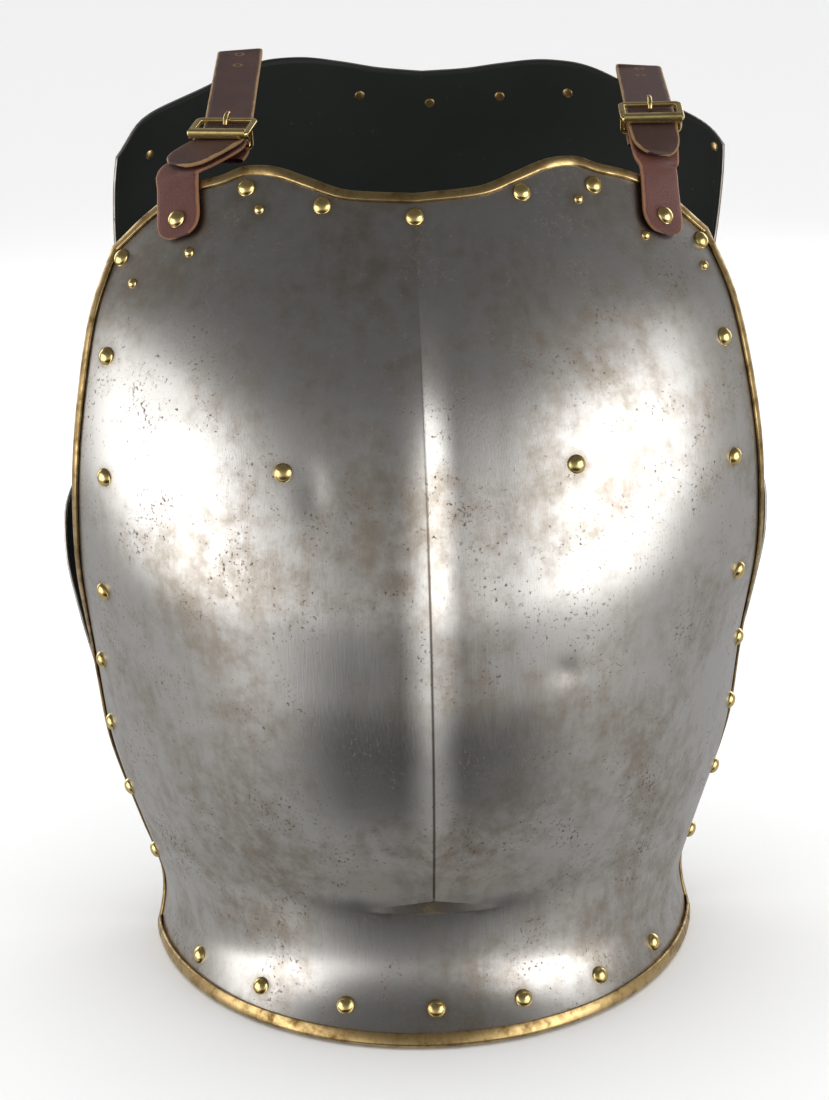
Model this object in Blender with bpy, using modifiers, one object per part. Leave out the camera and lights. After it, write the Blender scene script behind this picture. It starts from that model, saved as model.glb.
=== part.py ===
"""A cuirass: a ridged steel breastplate and a steel backplate on two buckled leather straps.

Metres, +Z up. It stands on its waist flanges, the breast towards -Y, with the origin
below the middle of its box.
"""
import math
from dataclasses import dataclass

import bmesh
import bpy
from mathutils import Vector
from mathutils.bvhtree import BVHTree

# Plates: overall sizes
BREAST_HEIGHT = 0.425
BREAST_HALF_WIDTH = 0.173
BREAST_DEPTH = 0.195
BACK_HEIGHT = 0.449
BACK_HALF_WIDTH = 0.1855
BACK_DEPTH = 0.146

# The backplate hangs askew: its top lies this far to +X, and its top edge falls that way by
# this much a metre
BACK_LEAN = 0.0140
BACK_TILT = 0.04

# Plates: walls, medial ridge and the space between their side edges
BREAST_WALL = 0.0020
BACK_WALL = 0.0016
RIDGE_HEIGHT = 0.006
RIDGE_HALF_WIDTH = 0.036
SEAM_GAP = -0.006
ROW_STEP = 0.024

# Every piece keeps this clearance to the one it is seated on
FIT_GAP = 0.0003

# Brass binding folded over the breastplate's edge
BINDING_WALL = 0.0010
BINDING_GAP = 0.0006
BINDING_LEG = 0.0042
FLANGE_BINDING_LEG = 0.0058

# Brass rivets
RIVET_RADIUS = 0.0046
RIVET_RISE = 0.0034
PIN_RADIUS = 0.0026
PIN_RISE = 0.0021
NECK_RIVET_DROP = 0.0090
FLANGE_RIVET_HEIGHT = 0.0145
RIVET_SIDES = 10
SEAT_SAMPLES = 24

# Leather straps
STRAP_WIDTH = 0.0240
BILLET_THICKNESS = 0.0024
FRONT_STRAP_THICKNESS = 0.0022
STRAP_ON_BACK = 0.050
STRAP_ON_BREAST = 0.0205
STRAP_RIVET_DROP = 0.0135
STRAP_LAYER_GAP = 0.0016
STRAP_STEP = 0.005
STRAP_EASE = 0.0040
STRAP_FOLLOWS_RIM = 0.35

# Brass buckles
BUCKLE_BAR_RADIUS = 0.0016
BUCKLE_LENGTH = 0.0200
TONGUE_RADIUS = 0.0011

# Breastplate sections, from the flange up. Height, half width at the edge and depth are
# shares of the breastplate's sizes, ridge is a share of the ridge's height, and wrap is how
# far the section turns round the body, in degrees from the middle to the edge.
BREAST_SECTIONS = (
    # height, half_width, depth, ridge, wrap
    (0.000, 0.825, 0.897, 0.0, 86.0),
    (0.014, 0.815, 0.864, 0.0, 86.0),
    (0.033, 0.806, 0.823, 0.0, 86.0),
    (0.052, 0.799, 0.797, 0.0, 86.0),
    (0.073, 0.802, 0.782, 0.0, 86.0),
    (0.113, 0.829, 0.779, 0.0, 85.0),
    (0.151, 0.858, 0.782, 0.0, 84.0),
    (0.179, 0.880, 0.805, 1.0, 84.0),
    (0.226, 0.915, 0.862, 1.0, 83.5),
    (0.282, 0.945, 0.918, 1.0, 82.5),
    (0.334, 0.960, 0.954, 1.0, 82.5),
    (0.388, 0.972, 0.982, 1.0, 81.0),
    (0.438, 0.978, 0.995, 1.0, 76.0),
    (0.527, 0.984, 1.000, 1.0, 66.5),
    (0.612, 0.978, 0.974, 1.0, 61.0),
    (0.678, 0.966, 0.938, 1.0, 58.0),
    (0.753, 0.942, 0.879, 0.9, 57.0),
    (0.833, 0.905, 0.785, 0.6, 58.0),
    (0.904, 0.835, 0.682, 0.2, 61.0),
    (1.000, 0.740, 0.513, 0.0, 66.0),
)

# Top outline of the breastplate, from the middle of the neck out to the armhole
BREAST_OUTLINE = (
    # half_width, height
    (0.00, 0.972),
    (0.18, 0.976),
    (0.29, 0.989),
    (0.40, 1.000),
    (0.456, 0.999),
    (0.503, 0.990),
    (0.61, 0.976),
    (0.71, 0.950),
    (0.78, 0.925),
    (0.83, 0.905),
    (1.10, 0.820),
)

# Backplate sections, with the same columns but for the ridge, which it lacks
BACK_SECTIONS = (
    # height, half_width, depth, ridge, wrap
    (0.000, 0.749, 0.884, 0.0, 89.0),
    (0.022, 0.739, 0.829, 0.0, 89.0),
    (0.045, 0.730, 0.791, 0.0, 89.0),
    (0.070, 0.733, 0.767, 0.0, 89.0),
    (0.135, 0.776, 0.774, 0.0, 89.0),
    (0.224, 0.852, 0.856, 0.0, 89.0),
    (0.314, 0.916, 0.918, 0.0, 88.5),
    (0.404, 0.970, 0.966, 0.0, 88.0),
    (0.471, 0.998, 0.986, 0.0, 87.5),
    (0.511, 1.000, 0.992, 0.0, 86.0),
    (0.547, 0.970, 0.993, 0.0, 83.0),
    (0.578, 0.922, 0.997, 0.0, 79.0),
    (0.619, 0.879, 1.000, 0.0, 74.0),
    (0.673, 0.855, 1.000, 0.0, 70.0),
    (0.751, 0.852, 0.993, 0.0, 66.5),
    (0.818, 0.866, 0.973, 0.0, 64.5),
    (0.874, 0.870, 0.942, 0.0, 63.5),
    (0.901, 0.866, 0.921, 0.0, 63.0),
    (1.000, 0.840, 0.822, 0.0, 62.0),
)

BACK_OUTLINE = (
    # half_width, height
    (0.00, 0.981),
    (0.12, 0.985),
    (0.23, 0.993),
    (0.36, 1.000),
    (0.43, 0.999),
    (0.49, 0.994),
    (0.55, 0.984),
    (0.62, 0.970),
    (0.70, 0.957),
    (0.78, 0.944),
    (0.83, 0.930),
    (0.87, 0.900),
    (1.10, 0.830),
)

# Mesh columns of half a plate, as shares of the turn from the middle to the edge
COLUMNS = (0.0, 0.05, 0.14, 0.22, 0.30, 0.38, 0.46, 0.54, 0.62, 0.70, 0.78, 0.86, 0.93, 1.0)

# Above this share of a plate's height its mesh rows follow the top outline
LEVEL_ROWS = 0.50

# Rivets down each side edge of the breastplate: height share, and share of the turn from the
# middle to the edge
SIDE_RIVETS = (
    # height, turn
    (0.894, 0.940),
    (0.795, 0.900),
    (0.664, 0.865),
    (0.517, 0.860),
    (0.399, 0.892),
    (0.310, 0.900),
    (0.220, 0.890),
    (0.127, 0.900),
)

# Its other rivets: half-width shares along the neck, shares of the turn along the flange, and
# half-width and height shares on the chest and below the shoulders
NECK_RIVETS = (-0.456, -0.250, 0.0, 0.298, 0.503)
FLANGE_RIVETS = (-0.671, -0.443, -0.215, 0.0, 0.210, 0.426, 0.642)
CHEST_RIVETS = ((-0.381, 0.696), (0.409, 0.694))
PINS = ((-0.422, 0.957), (0.457, 0.957), (-0.620, 0.910), (0.645, 0.912), (-0.783, 0.872), (0.817, 0.870))
BACK_RIVETS = (
    # half_width, height
    (0.099, 0.941),
    (-0.720, 0.905),
    (0.900, 0.900),
    (-0.108, 0.954),
    (0.305, 0.948),
    (0.501, 0.953),
)

# Straps: where each one lies across the body, as shares of the breastplate's half width, the
# share of its way forward at which its buckle sits, and how far it bends there, to +X and up
STRAP_PLACES = (
    # side, on the back, on the breast, buckle, bend across, bend up
    ("right", -0.480, -0.640, 0.815, 0.0170, 0.0040),
    ("left", 0.744, 0.690, 0.840, -0.0025, 0.0115),
)

FRONT_EXTENT = BREAST_DEPTH + RIDGE_HEIGHT + BREAST_WALL / 2
BACK_EXTENT = BACK_DEPTH + SEAM_GAP + BACK_WALL / 2
SEAM_Y = (FRONT_EXTENT - BACK_EXTENT) / 2
UP = Vector((0.0, 0.0, 1.0))


@dataclass(frozen=True)
class Plate:
    """The middle surface of a plate: oval sections, one above another, cut by an outline."""

    toward: float
    seam_y: float
    foot: float
    height: float
    half_width: float
    depth: float
    wall: float
    lean: float
    tilt: float
    sections: tuple
    outline: tuple


def read_table(table, column, at):
    """Read a column of a table smoothly at a value of its first column, without overshoot."""
    keys = [row[0] for row in table]
    values = [row[column] for row in table]
    at = min(max(at, keys[0]), keys[-1])
    slopes = [(values[i + 1] - values[i]) / (keys[i + 1] - keys[i]) for i in range(len(keys) - 1)]
    tangents = [slopes[0]]
    for before, after in zip(slopes, slopes[1:]):
        tangents.append(2 * before * after / (before + after) if before * after > 0 else 0.0)
    tangents.append(slopes[-1])
    i = max(k for k in range(len(keys) - 1) if keys[k] <= at)
    step = keys[i + 1] - keys[i]
    t = (at - keys[i]) / step
    start = values[i] * (1 + 2 * t) * (1 - t) ** 2 + step * tangents[i] * t * (1 - t) ** 2
    end = values[i + 1] * t * t * (3 - 2 * t) + step * tangents[i + 1] * t * t * (t - 1)
    return start + end


def section(plate, z):
    """Half width of the whole oval, depth, ridge and wrap of a plate's section at a height."""
    share = (z - plate.foot) / (plate.height - plate.foot)
    wrap = math.radians(read_table(plate.sections, 4, share))
    oval = plate.half_width * read_table(plate.sections, 1, share) / math.sin(wrap)
    depth = plate.depth * read_table(plate.sections, 2, share)
    ridge = RIDGE_HEIGHT * read_table(plate.sections, 3, share)
    return oval, depth, ridge, wrap


def middle(plate, z):
    """Place of a section's middle across the body, which leans where the plate hangs askew."""
    return plate.lean * (z / plate.height) ** 3


def top_height(plate, x):
    """Height of a plate's top edge at a place across the body."""
    off = x - plate.lean
    return plate.height * read_table(plate.outline, 1, abs(off) / plate.half_width) - plate.tilt * off


def rim_under(plate, x):
    """Highest point of a plate's top edge below a strap that crosses it."""
    return max(top_height(plate, x - STRAP_WIDTH / 2), top_height(plate, x + STRAP_WIDTH / 2))


def surface(plate, x, z):
    """Point of a plate's middle surface at a place across the body and a height."""
    oval, depth, ridge, _ = section(plate, z)
    off = x - middle(plate, z)
    crest = ridge * max(0.0, 1 - abs(off) / RIDGE_HALF_WIDTH) ** 1.5
    out = depth * math.sqrt(max(0.0, 1 - (off / oval) ** 2)) + crest
    return Vector((x, plate.seam_y + plate.toward * out, z))


def normal(plate, x, z):
    """Direction out of the body at a place on a plate."""
    reach = 0.002
    across = surface(plate, x + reach, z) - surface(plate, x - reach, z)
    upward = surface(plate, x, z + reach) - surface(plate, x, z - reach)
    out = across.cross(upward).normalized()
    return out if out.y * plate.toward > 0 else -out


def turned_point(plate, turn, z):
    """Point of a section at a signed share of its turn from the middle to the edge."""
    oval, _, _, wrap = section(plate, z)
    return surface(plate, middle(plate, z) + oval * math.sin(turn * wrap), z)


def row_heights(plate):
    """Heights of the mesh rows: one for each section, with more where sections lie far apart."""
    rise = plate.height - plate.foot
    heights = [plate.foot]
    for lower, upper in zip(plate.sections, plate.sections[1:]):
        count = math.ceil((upper[0] - lower[0]) * rise / ROW_STEP)
        for k in range(1, count + 1):
            heights.append(plate.foot + rise * (lower[0] + (upper[0] - lower[0]) * k / count))
    return heights


def plate_grid(plate):
    """Rows of points over a plate's middle surface, from the foot up and from -X to +X."""
    turns = [-share for share in reversed(COLUMNS[1:])] + list(COLUMNS)
    level = plate.height * LEVEL_ROWS
    tops = []
    for turn in turns:
        top = plate.height
        for _ in range(12):
            top = top_height(plate, turned_point(plate, turn, top).x)
        tops.append(top)
    rows = []
    for height in row_heights(plate):
        row = []
        for turn, top in zip(turns, tops):
            z = height
            if height > level:
                z = level + (height - level) * (top - level) / (plate.height - level)
            row.append(turned_point(plate, turn, z))
        rows.append(row)
    return rows


def make_material(name, colour, metallic, roughness):
    """A plain Principled finish."""
    finish = bpy.data.materials.new(name)
    finish.use_nodes = True
    shader = finish.node_tree.nodes["Principled BSDF"]
    shader.inputs["Base Color"].default_value = (*colour, 1.0)
    shader.inputs["Metallic"].default_value = metallic
    shader.inputs["Roughness"].default_value = roughness
    return finish


def add_mesh(name, mesh, finish):
    """Link a mesh into the cuirass as a named piece."""
    piece = bpy.data.objects.new(name, mesh)
    CUIRASS.objects.link(piece)
    if not mesh.materials:
        mesh.materials.append(finish)
    return piece


def shell(name, rows, wall, finish):
    """A sheet through rows of points, given its wall by Solidify."""
    across = len(rows[0])
    faces = []
    for r in range(len(rows) - 1):
        for c in range(across - 1):
            first = r * across + c
            faces.append((first, first + 1, first + across + 1, first + across))
    mesh = bpy.data.meshes.new(name)
    mesh.from_pydata([tuple(point) for row in rows for point in row], [], faces)
    mesh.update()
    mesh.shade_smooth()
    mesh.set_sharp_from_angle(angle=math.radians(30))
    piece = add_mesh(name, mesh, finish)
    solid = piece.modifiers.new("wall", "SOLIDIFY")
    solid.thickness = wall
    solid.offset = 0.0
    solid.use_even_offset = True
    return piece


def channel(name, edge, inner, wall, leg, finish, flat_foot=False):
    """A strip folded in a U over a plate's edge, lofted along the edge's points.

    inner holds the plate's points one step in from the edge, which give the legs' direction.
    """
    half_in = wall / 2 + BINDING_GAP
    half_out = half_in + BINDING_WALL
    end = -FIT_GAP - BINDING_WALL
    profile = (
        (leg, half_out), (0.0, half_out), (end, half_in * 0.6),
        (end, -half_in * 0.6), (0.0, -half_out), (leg, -half_out),
        (leg, -half_in), (-FIT_GAP, -half_in), (-FIT_GAP, half_in), (leg, half_in),
    )
    foot_corners = (3, 4)
    body = bmesh.new()
    rings = []
    for i, point in enumerate(edge):
        before = edge[max(i - 1, 0)]
        after = edge[min(i + 1, len(edge) - 1)]
        along = (after - before).normalized()
        inward = inner[i] - point
        inward = (inward - along * inward.dot(along)).normalized()
        out = along.cross(inward).normalized()
        ring = []
        for k, (depth, side) in enumerate(profile):
            place = point + inward * depth + out * side
            if flat_foot and k in foot_corners:
                place.z = 0.0
            ring.append(body.verts.new(place))
        rings.append(ring)
    for first, second in zip(rings, rings[1:]):
        for k in range(len(profile)):
            after = (k + 1) % len(profile)
            body.faces.new((first[k], first[after], second[after], second[k]))
    body.faces.new(rings[0])
    body.faces.new(rings[-1])
    bmesh.ops.recalc_face_normals(body, faces=body.faces)
    mesh = bpy.data.meshes.new(name)
    body.to_mesh(mesh)
    body.free()
    return add_mesh(name, mesh, finish)


def dome_mesh(name, radius, rise, finish):
    """A rivet's head: the upper half of a sphere, flattened to its rise, with a flat seat."""
    head = bmesh.new()
    bmesh.ops.create_uvsphere(head, u_segments=RIVET_SIDES, v_segments=4, radius=radius)
    everything = head.verts[:] + head.edges[:] + head.faces[:]
    bmesh.ops.bisect_plane(head, geom=everything, plane_co=(0, 0, 0), plane_no=(0, 0, 1),
                           clear_inner=True)
    bmesh.ops.holes_fill(head, edges=head.edges, sides=RIVET_SIDES)
    bmesh.ops.scale(head, vec=(1.0, 1.0, rise / radius), verts=head.verts)
    bmesh.ops.recalc_face_normals(head, faces=head.faces)
    mesh = bpy.data.meshes.new(name)
    head.to_mesh(mesh)
    head.free()
    mesh.materials.append(finish)
    mesh.shade_smooth()
    mesh.set_sharp_from_angle(angle=math.radians(50))
    return mesh


def seat_tree(piece):
    """Search tree over a piece's finished surface."""
    bpy.context.view_layer.update()
    depsgraph = bpy.context.evaluated_depsgraph_get()
    body = bmesh.new()
    body.from_object(piece, depsgraph)
    tree = BVHTree.FromBMesh(body)
    body.free()
    return tree


def seat_rivet(name, mesh, radius, tree, place, out):
    """Set a rivet's head on a surface, clear of it by the fit gap under its whole seat."""
    centre, _, _, _ = tree.find_nearest(place + out * RIVET_RADIUS)
    side = out.orthogonal().normalized()
    other = out.cross(side)
    highest = 0.0
    for k in range(SEAT_SAMPLES * 4):
        turn = math.tau * k / SEAT_SAMPLES
        reach = radius * (k // SEAT_SAMPLES + 1) / 4
        under = centre + (side * math.cos(turn) + other * math.sin(turn)) * reach
        hit, _, _, _ = tree.ray_cast(under + out * RIVET_RADIUS, -out, RIVET_RADIUS * 2)
        if hit is not None:
            highest = max(highest, (hit - centre).dot(out))
    rivet = add_mesh(name, mesh, None)
    rivet.location = centre + out * (highest + FIT_GAP)
    rivet.rotation_mode = "QUATERNION"
    rivet.rotation_quaternion = UP.rotation_difference(out)
    return rivet


def smooth_path(stations, step):
    """Even samples of place and direction along a smooth line through stations."""
    samples = []
    last = len(stations) - 1
    for i in range(last):
        near = [stations[max(i - 1, 0)], stations[i], stations[i + 1], stations[min(i + 2, last)]]
        length = (near[2][0] - near[1][0]).length
        count = max(1, math.ceil(length / step))
        for k in range(count + (i == last - 1)):
            t = k / count
            weights = (
                (-t + 2 * t * t - t ** 3) / 2, (2 - 5 * t * t + 3 * t ** 3) / 2,
                (t + 4 * t * t - 3 * t ** 3) / 2, (t ** 3 - t * t) / 2,
            )
            place = sum((weight * item[0] for weight, item in zip(weights, near)), Vector())
            out = sum((weight * item[1] for weight, item in zip(weights, near)), Vector())
            samples.append((place, out.normalized()))
    return samples


def strap(name, stations, thickness, finish, first_end, last_end):
    """A flat strap along stations of place and direction. Each end gives the shares of the
    strap's width over its last samples, from the tip inward."""
    samples = smooth_path(stations, STRAP_STEP)
    rows = []
    for i, (place, out) in enumerate(samples):
        before = samples[max(i - 1, 0)][0]
        after = samples[min(i + 1, len(samples) - 1)][0]
        across = (after - before).cross(out).normalized()
        from_last = len(samples) - 1 - i
        share = 1.0
        if i < len(first_end):
            share = first_end[i]
        elif from_last < len(last_end):
            share = last_end[from_last]
        reach = across * STRAP_WIDTH / 2 * share
        rows.append([place - reach, place, place + reach])
    return shell(name, rows, thickness, finish)


def wire(name, points, radius, cyclic, finish):
    """A round bar along points."""
    curve = bpy.data.curves.new(name, "CURVE")
    curve.dimensions = "3D"
    curve.bevel_depth = radius
    curve.bevel_resolution = 1
    curve.use_fill_caps = True
    line = curve.splines.new("POLY")
    line.points.add(len(points) - 1)
    for target, point in zip(line.points, points):
        target.co = (*point, 1.0)
    line.use_cyclic_u = cyclic
    curve.materials.append(finish)
    piece = bpy.data.objects.new(name, curve)
    CUIRASS.objects.link(piece)
    return piece


def meshed(piece, home):
    """Turn a wire into a mesh object of a collection, with its caps welded on."""
    seen = piece.evaluated_get(bpy.context.evaluated_depsgraph_get())
    mesh = bpy.data.meshes.new_from_object(seen)
    shape = bmesh.new()
    shape.from_mesh(mesh)
    bmesh.ops.remove_doubles(shape, verts=shape.verts, dist=0.00001)
    bmesh.ops.recalc_face_normals(shape, faces=shape.faces)
    shape.to_mesh(mesh)
    shape.free()
    name = piece.name
    bpy.data.objects.remove(piece)
    solid = bpy.data.objects.new(name, mesh)
    home.objects.link(solid)
    return solid


def fused_wires(name, ring, bridge, radius, finish):
    """A closed bar with a second bar bridging it, as one solid."""
    cutter = meshed(wire(f"{name}_bridge", bridge, radius, False, finish), CUTTERS)
    cutter.hide_render = True
    cutter.display_type = "WIRE"
    whole = meshed(wire(name, ring, radius, True, finish), CUIRASS)
    union = whole.modifiers.new("union", "BOOLEAN")
    union.operation = "UNION"
    union.object = cutter


def strap_and_buckle(side, on_back, on_breast, buckle_place, bend_across, bend_up):
    """The strap from the backplate, the strap on the breastplate, and the buckle between."""
    x_back = on_back * BREAST_HALF_WIDTH
    x_breast = on_breast * BREAST_HALF_WIDTH

    on_plate = BACK.wall / 2 + FIT_GAP + BILLET_THICKNESS / 2
    edge_z = rim_under(BACK, x_back)
    back_stations = []
    for drop in (STRAP_ON_BACK, STRAP_ON_BACK * 0.6, STRAP_ON_BACK * 0.3, 0.005):
        z = edge_z - drop
        out = normal(BACK, x_back, z)
        back_stations.append((surface(BACK, x_back, z) + out * on_plate, out))
    rim = surface(BACK, x_back, edge_z)
    rim_out = normal(BACK, x_back, edge_z)
    level_out = Vector((rim_out.x * STRAP_FOLLOWS_RIM, rim_out.y, rim_out.z)).normalized()
    corner = (level_out + UP).normalized()
    back_corner = rim + corner * (on_plate + STRAP_EASE)

    on_binding = BREAST.wall / 2 + BINDING_GAP + BINDING_WALL + FIT_GAP + FRONT_STRAP_THICKNESS / 2
    low_z = top_height(BREAST, x_breast)
    edge_z = rim_under(BREAST, x_breast)
    front_stations = []
    for z in (low_z - STRAP_ON_BREAST, low_z - STRAP_RIVET_DROP, (low_z + edge_z) / 2):
        out = normal(BREAST, x_breast, z)
        front_stations.append((surface(BREAST, x_breast, z) + out * on_binding, out))
    rim = surface(BREAST, x_breast, edge_z)
    rim_out = normal(BREAST, x_breast, edge_z)
    corner_out = (rim_out + UP).normalized()
    front_corner = rim + corner_out * (on_binding + BINDING_WALL)

    layer = (BILLET_THICKNESS + FRONT_STRAP_THICKNESS) / 2 + STRAP_LAYER_GAP
    line_start = back_corner - Vector((0.0, 2 * on_plate, 0.0))
    over_corner = front_corner + corner_out * layer
    centre = line_start.lerp(over_corner, buckle_place) + Vector((bend_across, 0.0, bend_up))
    arriving = (centre - line_start).normalized()
    leaving = (over_corner - centre).normalized()
    forward = (arriving * 2 + leaving).normalized()
    across = forward.cross(UP).normalized()
    above = across.cross(forward).normalized()

    lift = BILLET_THICKNESS / 2 + FIT_GAP + BUCKLE_BAR_RADIUS
    loop_radius = BUCKLE_BAR_RADIUS + FIT_GAP * 2 + FRONT_STRAP_THICKNESS / 2
    far_end = centre - forward * BUCKLE_LENGTH / 2
    near_end = centre + forward * BUCKLE_LENGTH / 2
    hinge_bar = centre - above * (layer + loop_radius)
    half_frame = across * (STRAP_WIDTH / 2 + FIT_GAP * 2 + BUCKLE_BAR_RADIUS)
    raised = above * lift
    frame = [far_end + raised + half_frame, far_end + raised - half_frame,
             near_end + raised - half_frame, near_end + raised + half_frame]
    hinge = [centre + raised + half_frame, hinge_bar + half_frame,
             hinge_bar - half_frame, centre + raised - half_frame]
    fused_wires(f"buckle_{side}", frame, hinge, BUCKLE_BAR_RADIUS, BRASS)

    rest = BILLET_THICKNESS / 2 + FIT_GAP + TONGUE_RADIUS
    over_bar = lift + BUCKLE_BAR_RADIUS + FIT_GAP + TONGUE_RADIUS
    tongue = [far_end + forward * 0.0046 + above * rest, far_end + forward * 0.0028 + above * over_bar * 0.86,
              far_end + above * over_bar * 1.02, far_end - forward * 0.003 + above * over_bar]
    wire(f"buckle_tongue_{side}", tongue, TONGUE_RADIUS, False, BRASS)

    under = near_end - above * layer
    slope_out = (across.cross(front_corner - under).normalized() + corner_out).normalized()
    halfway = under.lerp(front_corner, 0.5)
    billet = back_stations + [(back_corner, corner), (line_start, UP)]
    for share in (0.12, 0.35, 0.80):
        billet.append((line_start.lerp(far_end, share), UP))
    billet += [(far_end, above), (centre, above), (near_end, above)]
    billet += [(halfway + slope_out * layer, slope_out), (over_corner, corner_out)]
    strap(f"back_strap_{side}", billet, BILLET_THICKNESS, LEATHER, (0.7, 0.95), (0.45, 0.85))

    front = front_stations + [(front_corner, corner_out)]
    front += [(halfway, slope_out), (under, above), (centre - above * layer, above)]
    for turn in (45, 90, 135, 180):
        angle = math.radians(turn)
        ray = above * math.cos(angle) - forward * math.sin(angle)
        front.append((hinge_bar + ray * loop_radius, ray))
    front.append((hinge_bar - above * loop_radius + forward * 0.010, -above))
    strap(f"front_strap_{side}", front, FRONT_STRAP_THICKNESS, RED_LEATHER, (0.7, 0.95), ())

    for end, (place, out) in (("front", front_stations[1]), ("back", back_stations[1])):
        tree = seat_tree(bpy.data.objects[f"{end}_strap_{side}"])
        seat_rivet(f"strap_rivet_{end}_{side}", RIVET, RIVET_RADIUS, tree, place, out)


def breast_rivets():
    """Rivets and pins of the breastplate, each set on the plate's own surface."""
    tree = seat_tree(bpy.data.objects["breastplate"])
    rise = BREAST.height
    places = []
    for i, (share, turn) in enumerate(SIDE_RIVETS):
        for sign, word in ((-1, "r"), (1, "l")):
            places.append((f"side_rivet_{word}{i + 1}", turned_point(BREAST, sign * turn, share * rise)))
    for i, share in enumerate(NECK_RIVETS):
        x = share * BREAST.half_width
        places.append((f"neck_rivet_{i + 1}", surface(BREAST, x, top_height(BREAST, x) - NECK_RIVET_DROP)))
    for i, turn in enumerate(FLANGE_RIVETS):
        places.append((f"flange_rivet_{i + 1}", turned_point(BREAST, turn, FLANGE_RIVET_HEIGHT)))
    for i, (x, z) in enumerate(CHEST_RIVETS):
        places.append((f"chest_rivet_{i + 1}", surface(BREAST, x * BREAST.half_width, z * rise)))
    for name, place in places:
        seat_rivet(name, RIVET, RIVET_RADIUS, tree, place, normal(BREAST, place.x, place.z))
    for i, (x, z) in enumerate(PINS):
        place = surface(BREAST, x * BREAST.half_width, z * rise)
        seat_rivet(f"pin_{i + 1}", PIN, PIN_RADIUS, tree, place, normal(BREAST, place.x, place.z))


def back_rivets():
    """Rivets of the backplate, whose ends show inside it."""
    tree = seat_tree(bpy.data.objects["backplate"])
    for i, (x, z) in enumerate(BACK_RIVETS):
        place = surface(BACK, x * BACK.half_width, z * BACK.height)
        seat_rivet(f"back_rivet_{i + 1}", RIVET, RIVET_RADIUS, tree, place,
                   normal(BACK, place.x, place.z))


def bindings(rows):
    """Brass strips on the breastplate's neck and shoulders, its two sides and its flange."""
    last = len(rows) - 1
    skip = 1
    neck_edge = rows[last]
    neck_inner = rows[last - 1]
    channel("neck_binding", neck_edge[skip:-skip], neck_inner[skip:-skip], BREAST.wall,
            BINDING_LEG, BRASS)
    for name, edge, inner in (("side_binding_r", 0, 1), ("side_binding_l", -1, -2)):
        outer_points = [row[edge] for row in rows][skip:-skip]
        inner_points = [row[inner] for row in rows][skip:-skip]
        channel(name, outer_points, inner_points, BREAST.wall, BINDING_LEG, BRASS)
    channel("flange_binding", rows[0], rows[1], BREAST.wall, FLANGE_BINDING_LEG, BRASS, flat_foot=True)


for leftover in list(bpy.data.objects):
    bpy.data.objects.remove(leftover, do_unlink=True)

CUIRASS = bpy.data.collections.new("cuirass")
bpy.context.scene.collection.children.link(CUIRASS)
CUTTERS = bpy.data.collections.new("cutters")
bpy.context.scene.collection.children.link(CUTTERS)

STEEL = make_material("bright_steel", (0.36, 0.35, 0.34), 1.0, 0.35)
BLACK_STEEL = make_material("blackened_steel", (0.02, 0.024, 0.022), 0.6, 0.5)
BRASS = make_material("brass", (0.62, 0.46, 0.20), 1.0, 0.3)
LEATHER = make_material("brown_leather", (0.06, 0.03, 0.022), 0.0, 0.5)
RED_LEATHER = make_material("red_brown_leather", (0.14, 0.04, 0.03), 0.0, 0.5)

BREAST = Plate(-1.0, SEAM_Y, FIT_GAP + BINDING_WALL * 1.4, BREAST_HEIGHT, BREAST_HALF_WIDTH, BREAST_DEPTH,
               BREAST_WALL, 0.0, 0.0, BREAST_SECTIONS, BREAST_OUTLINE)
BACK = Plate(1.0, SEAM_Y + SEAM_GAP, BACK_WALL * 0.35, BACK_HEIGHT, BACK_HALF_WIDTH, BACK_DEPTH,
             BACK_WALL, BACK_LEAN, BACK_TILT, BACK_SECTIONS, BACK_OUTLINE)

RIVET = dome_mesh("rivet_head", RIVET_RADIUS, RIVET_RISE, BRASS)
PIN = dome_mesh("pin_head", PIN_RADIUS, PIN_RISE, BRASS)

breast_rows = plate_grid(BREAST)
shell("breastplate", breast_rows, BREAST_WALL, STEEL)
shell("backplate", plate_grid(BACK), BACK_WALL, BLACK_STEEL)
bindings(breast_rows)
breast_rivets()
back_rivets()
for strap_place in STRAP_PLACES:
    strap_and_buckle(*strap_place)
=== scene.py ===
# %% [markdown]
# # A horseman's cuirass
#
# A cuirass is body armour in two halves. The breastplate is steel sheet, hammered into a
# deep shell with a sharp ridge down its middle and a flared flange at the waist. The
# backplate hangs behind it on two buckled leather straps. Brass sheet is folded over the
# breastplate's edges, and brass rivets run round it.
#
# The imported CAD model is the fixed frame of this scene. Everything below is built in metres,
# in its coordinates: +Z is up, and the breast faces -Y.

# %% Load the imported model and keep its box
import math

import bmesh
import bpy
import numpy as np
from mathutils import Matrix, Vector, noise


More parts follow.
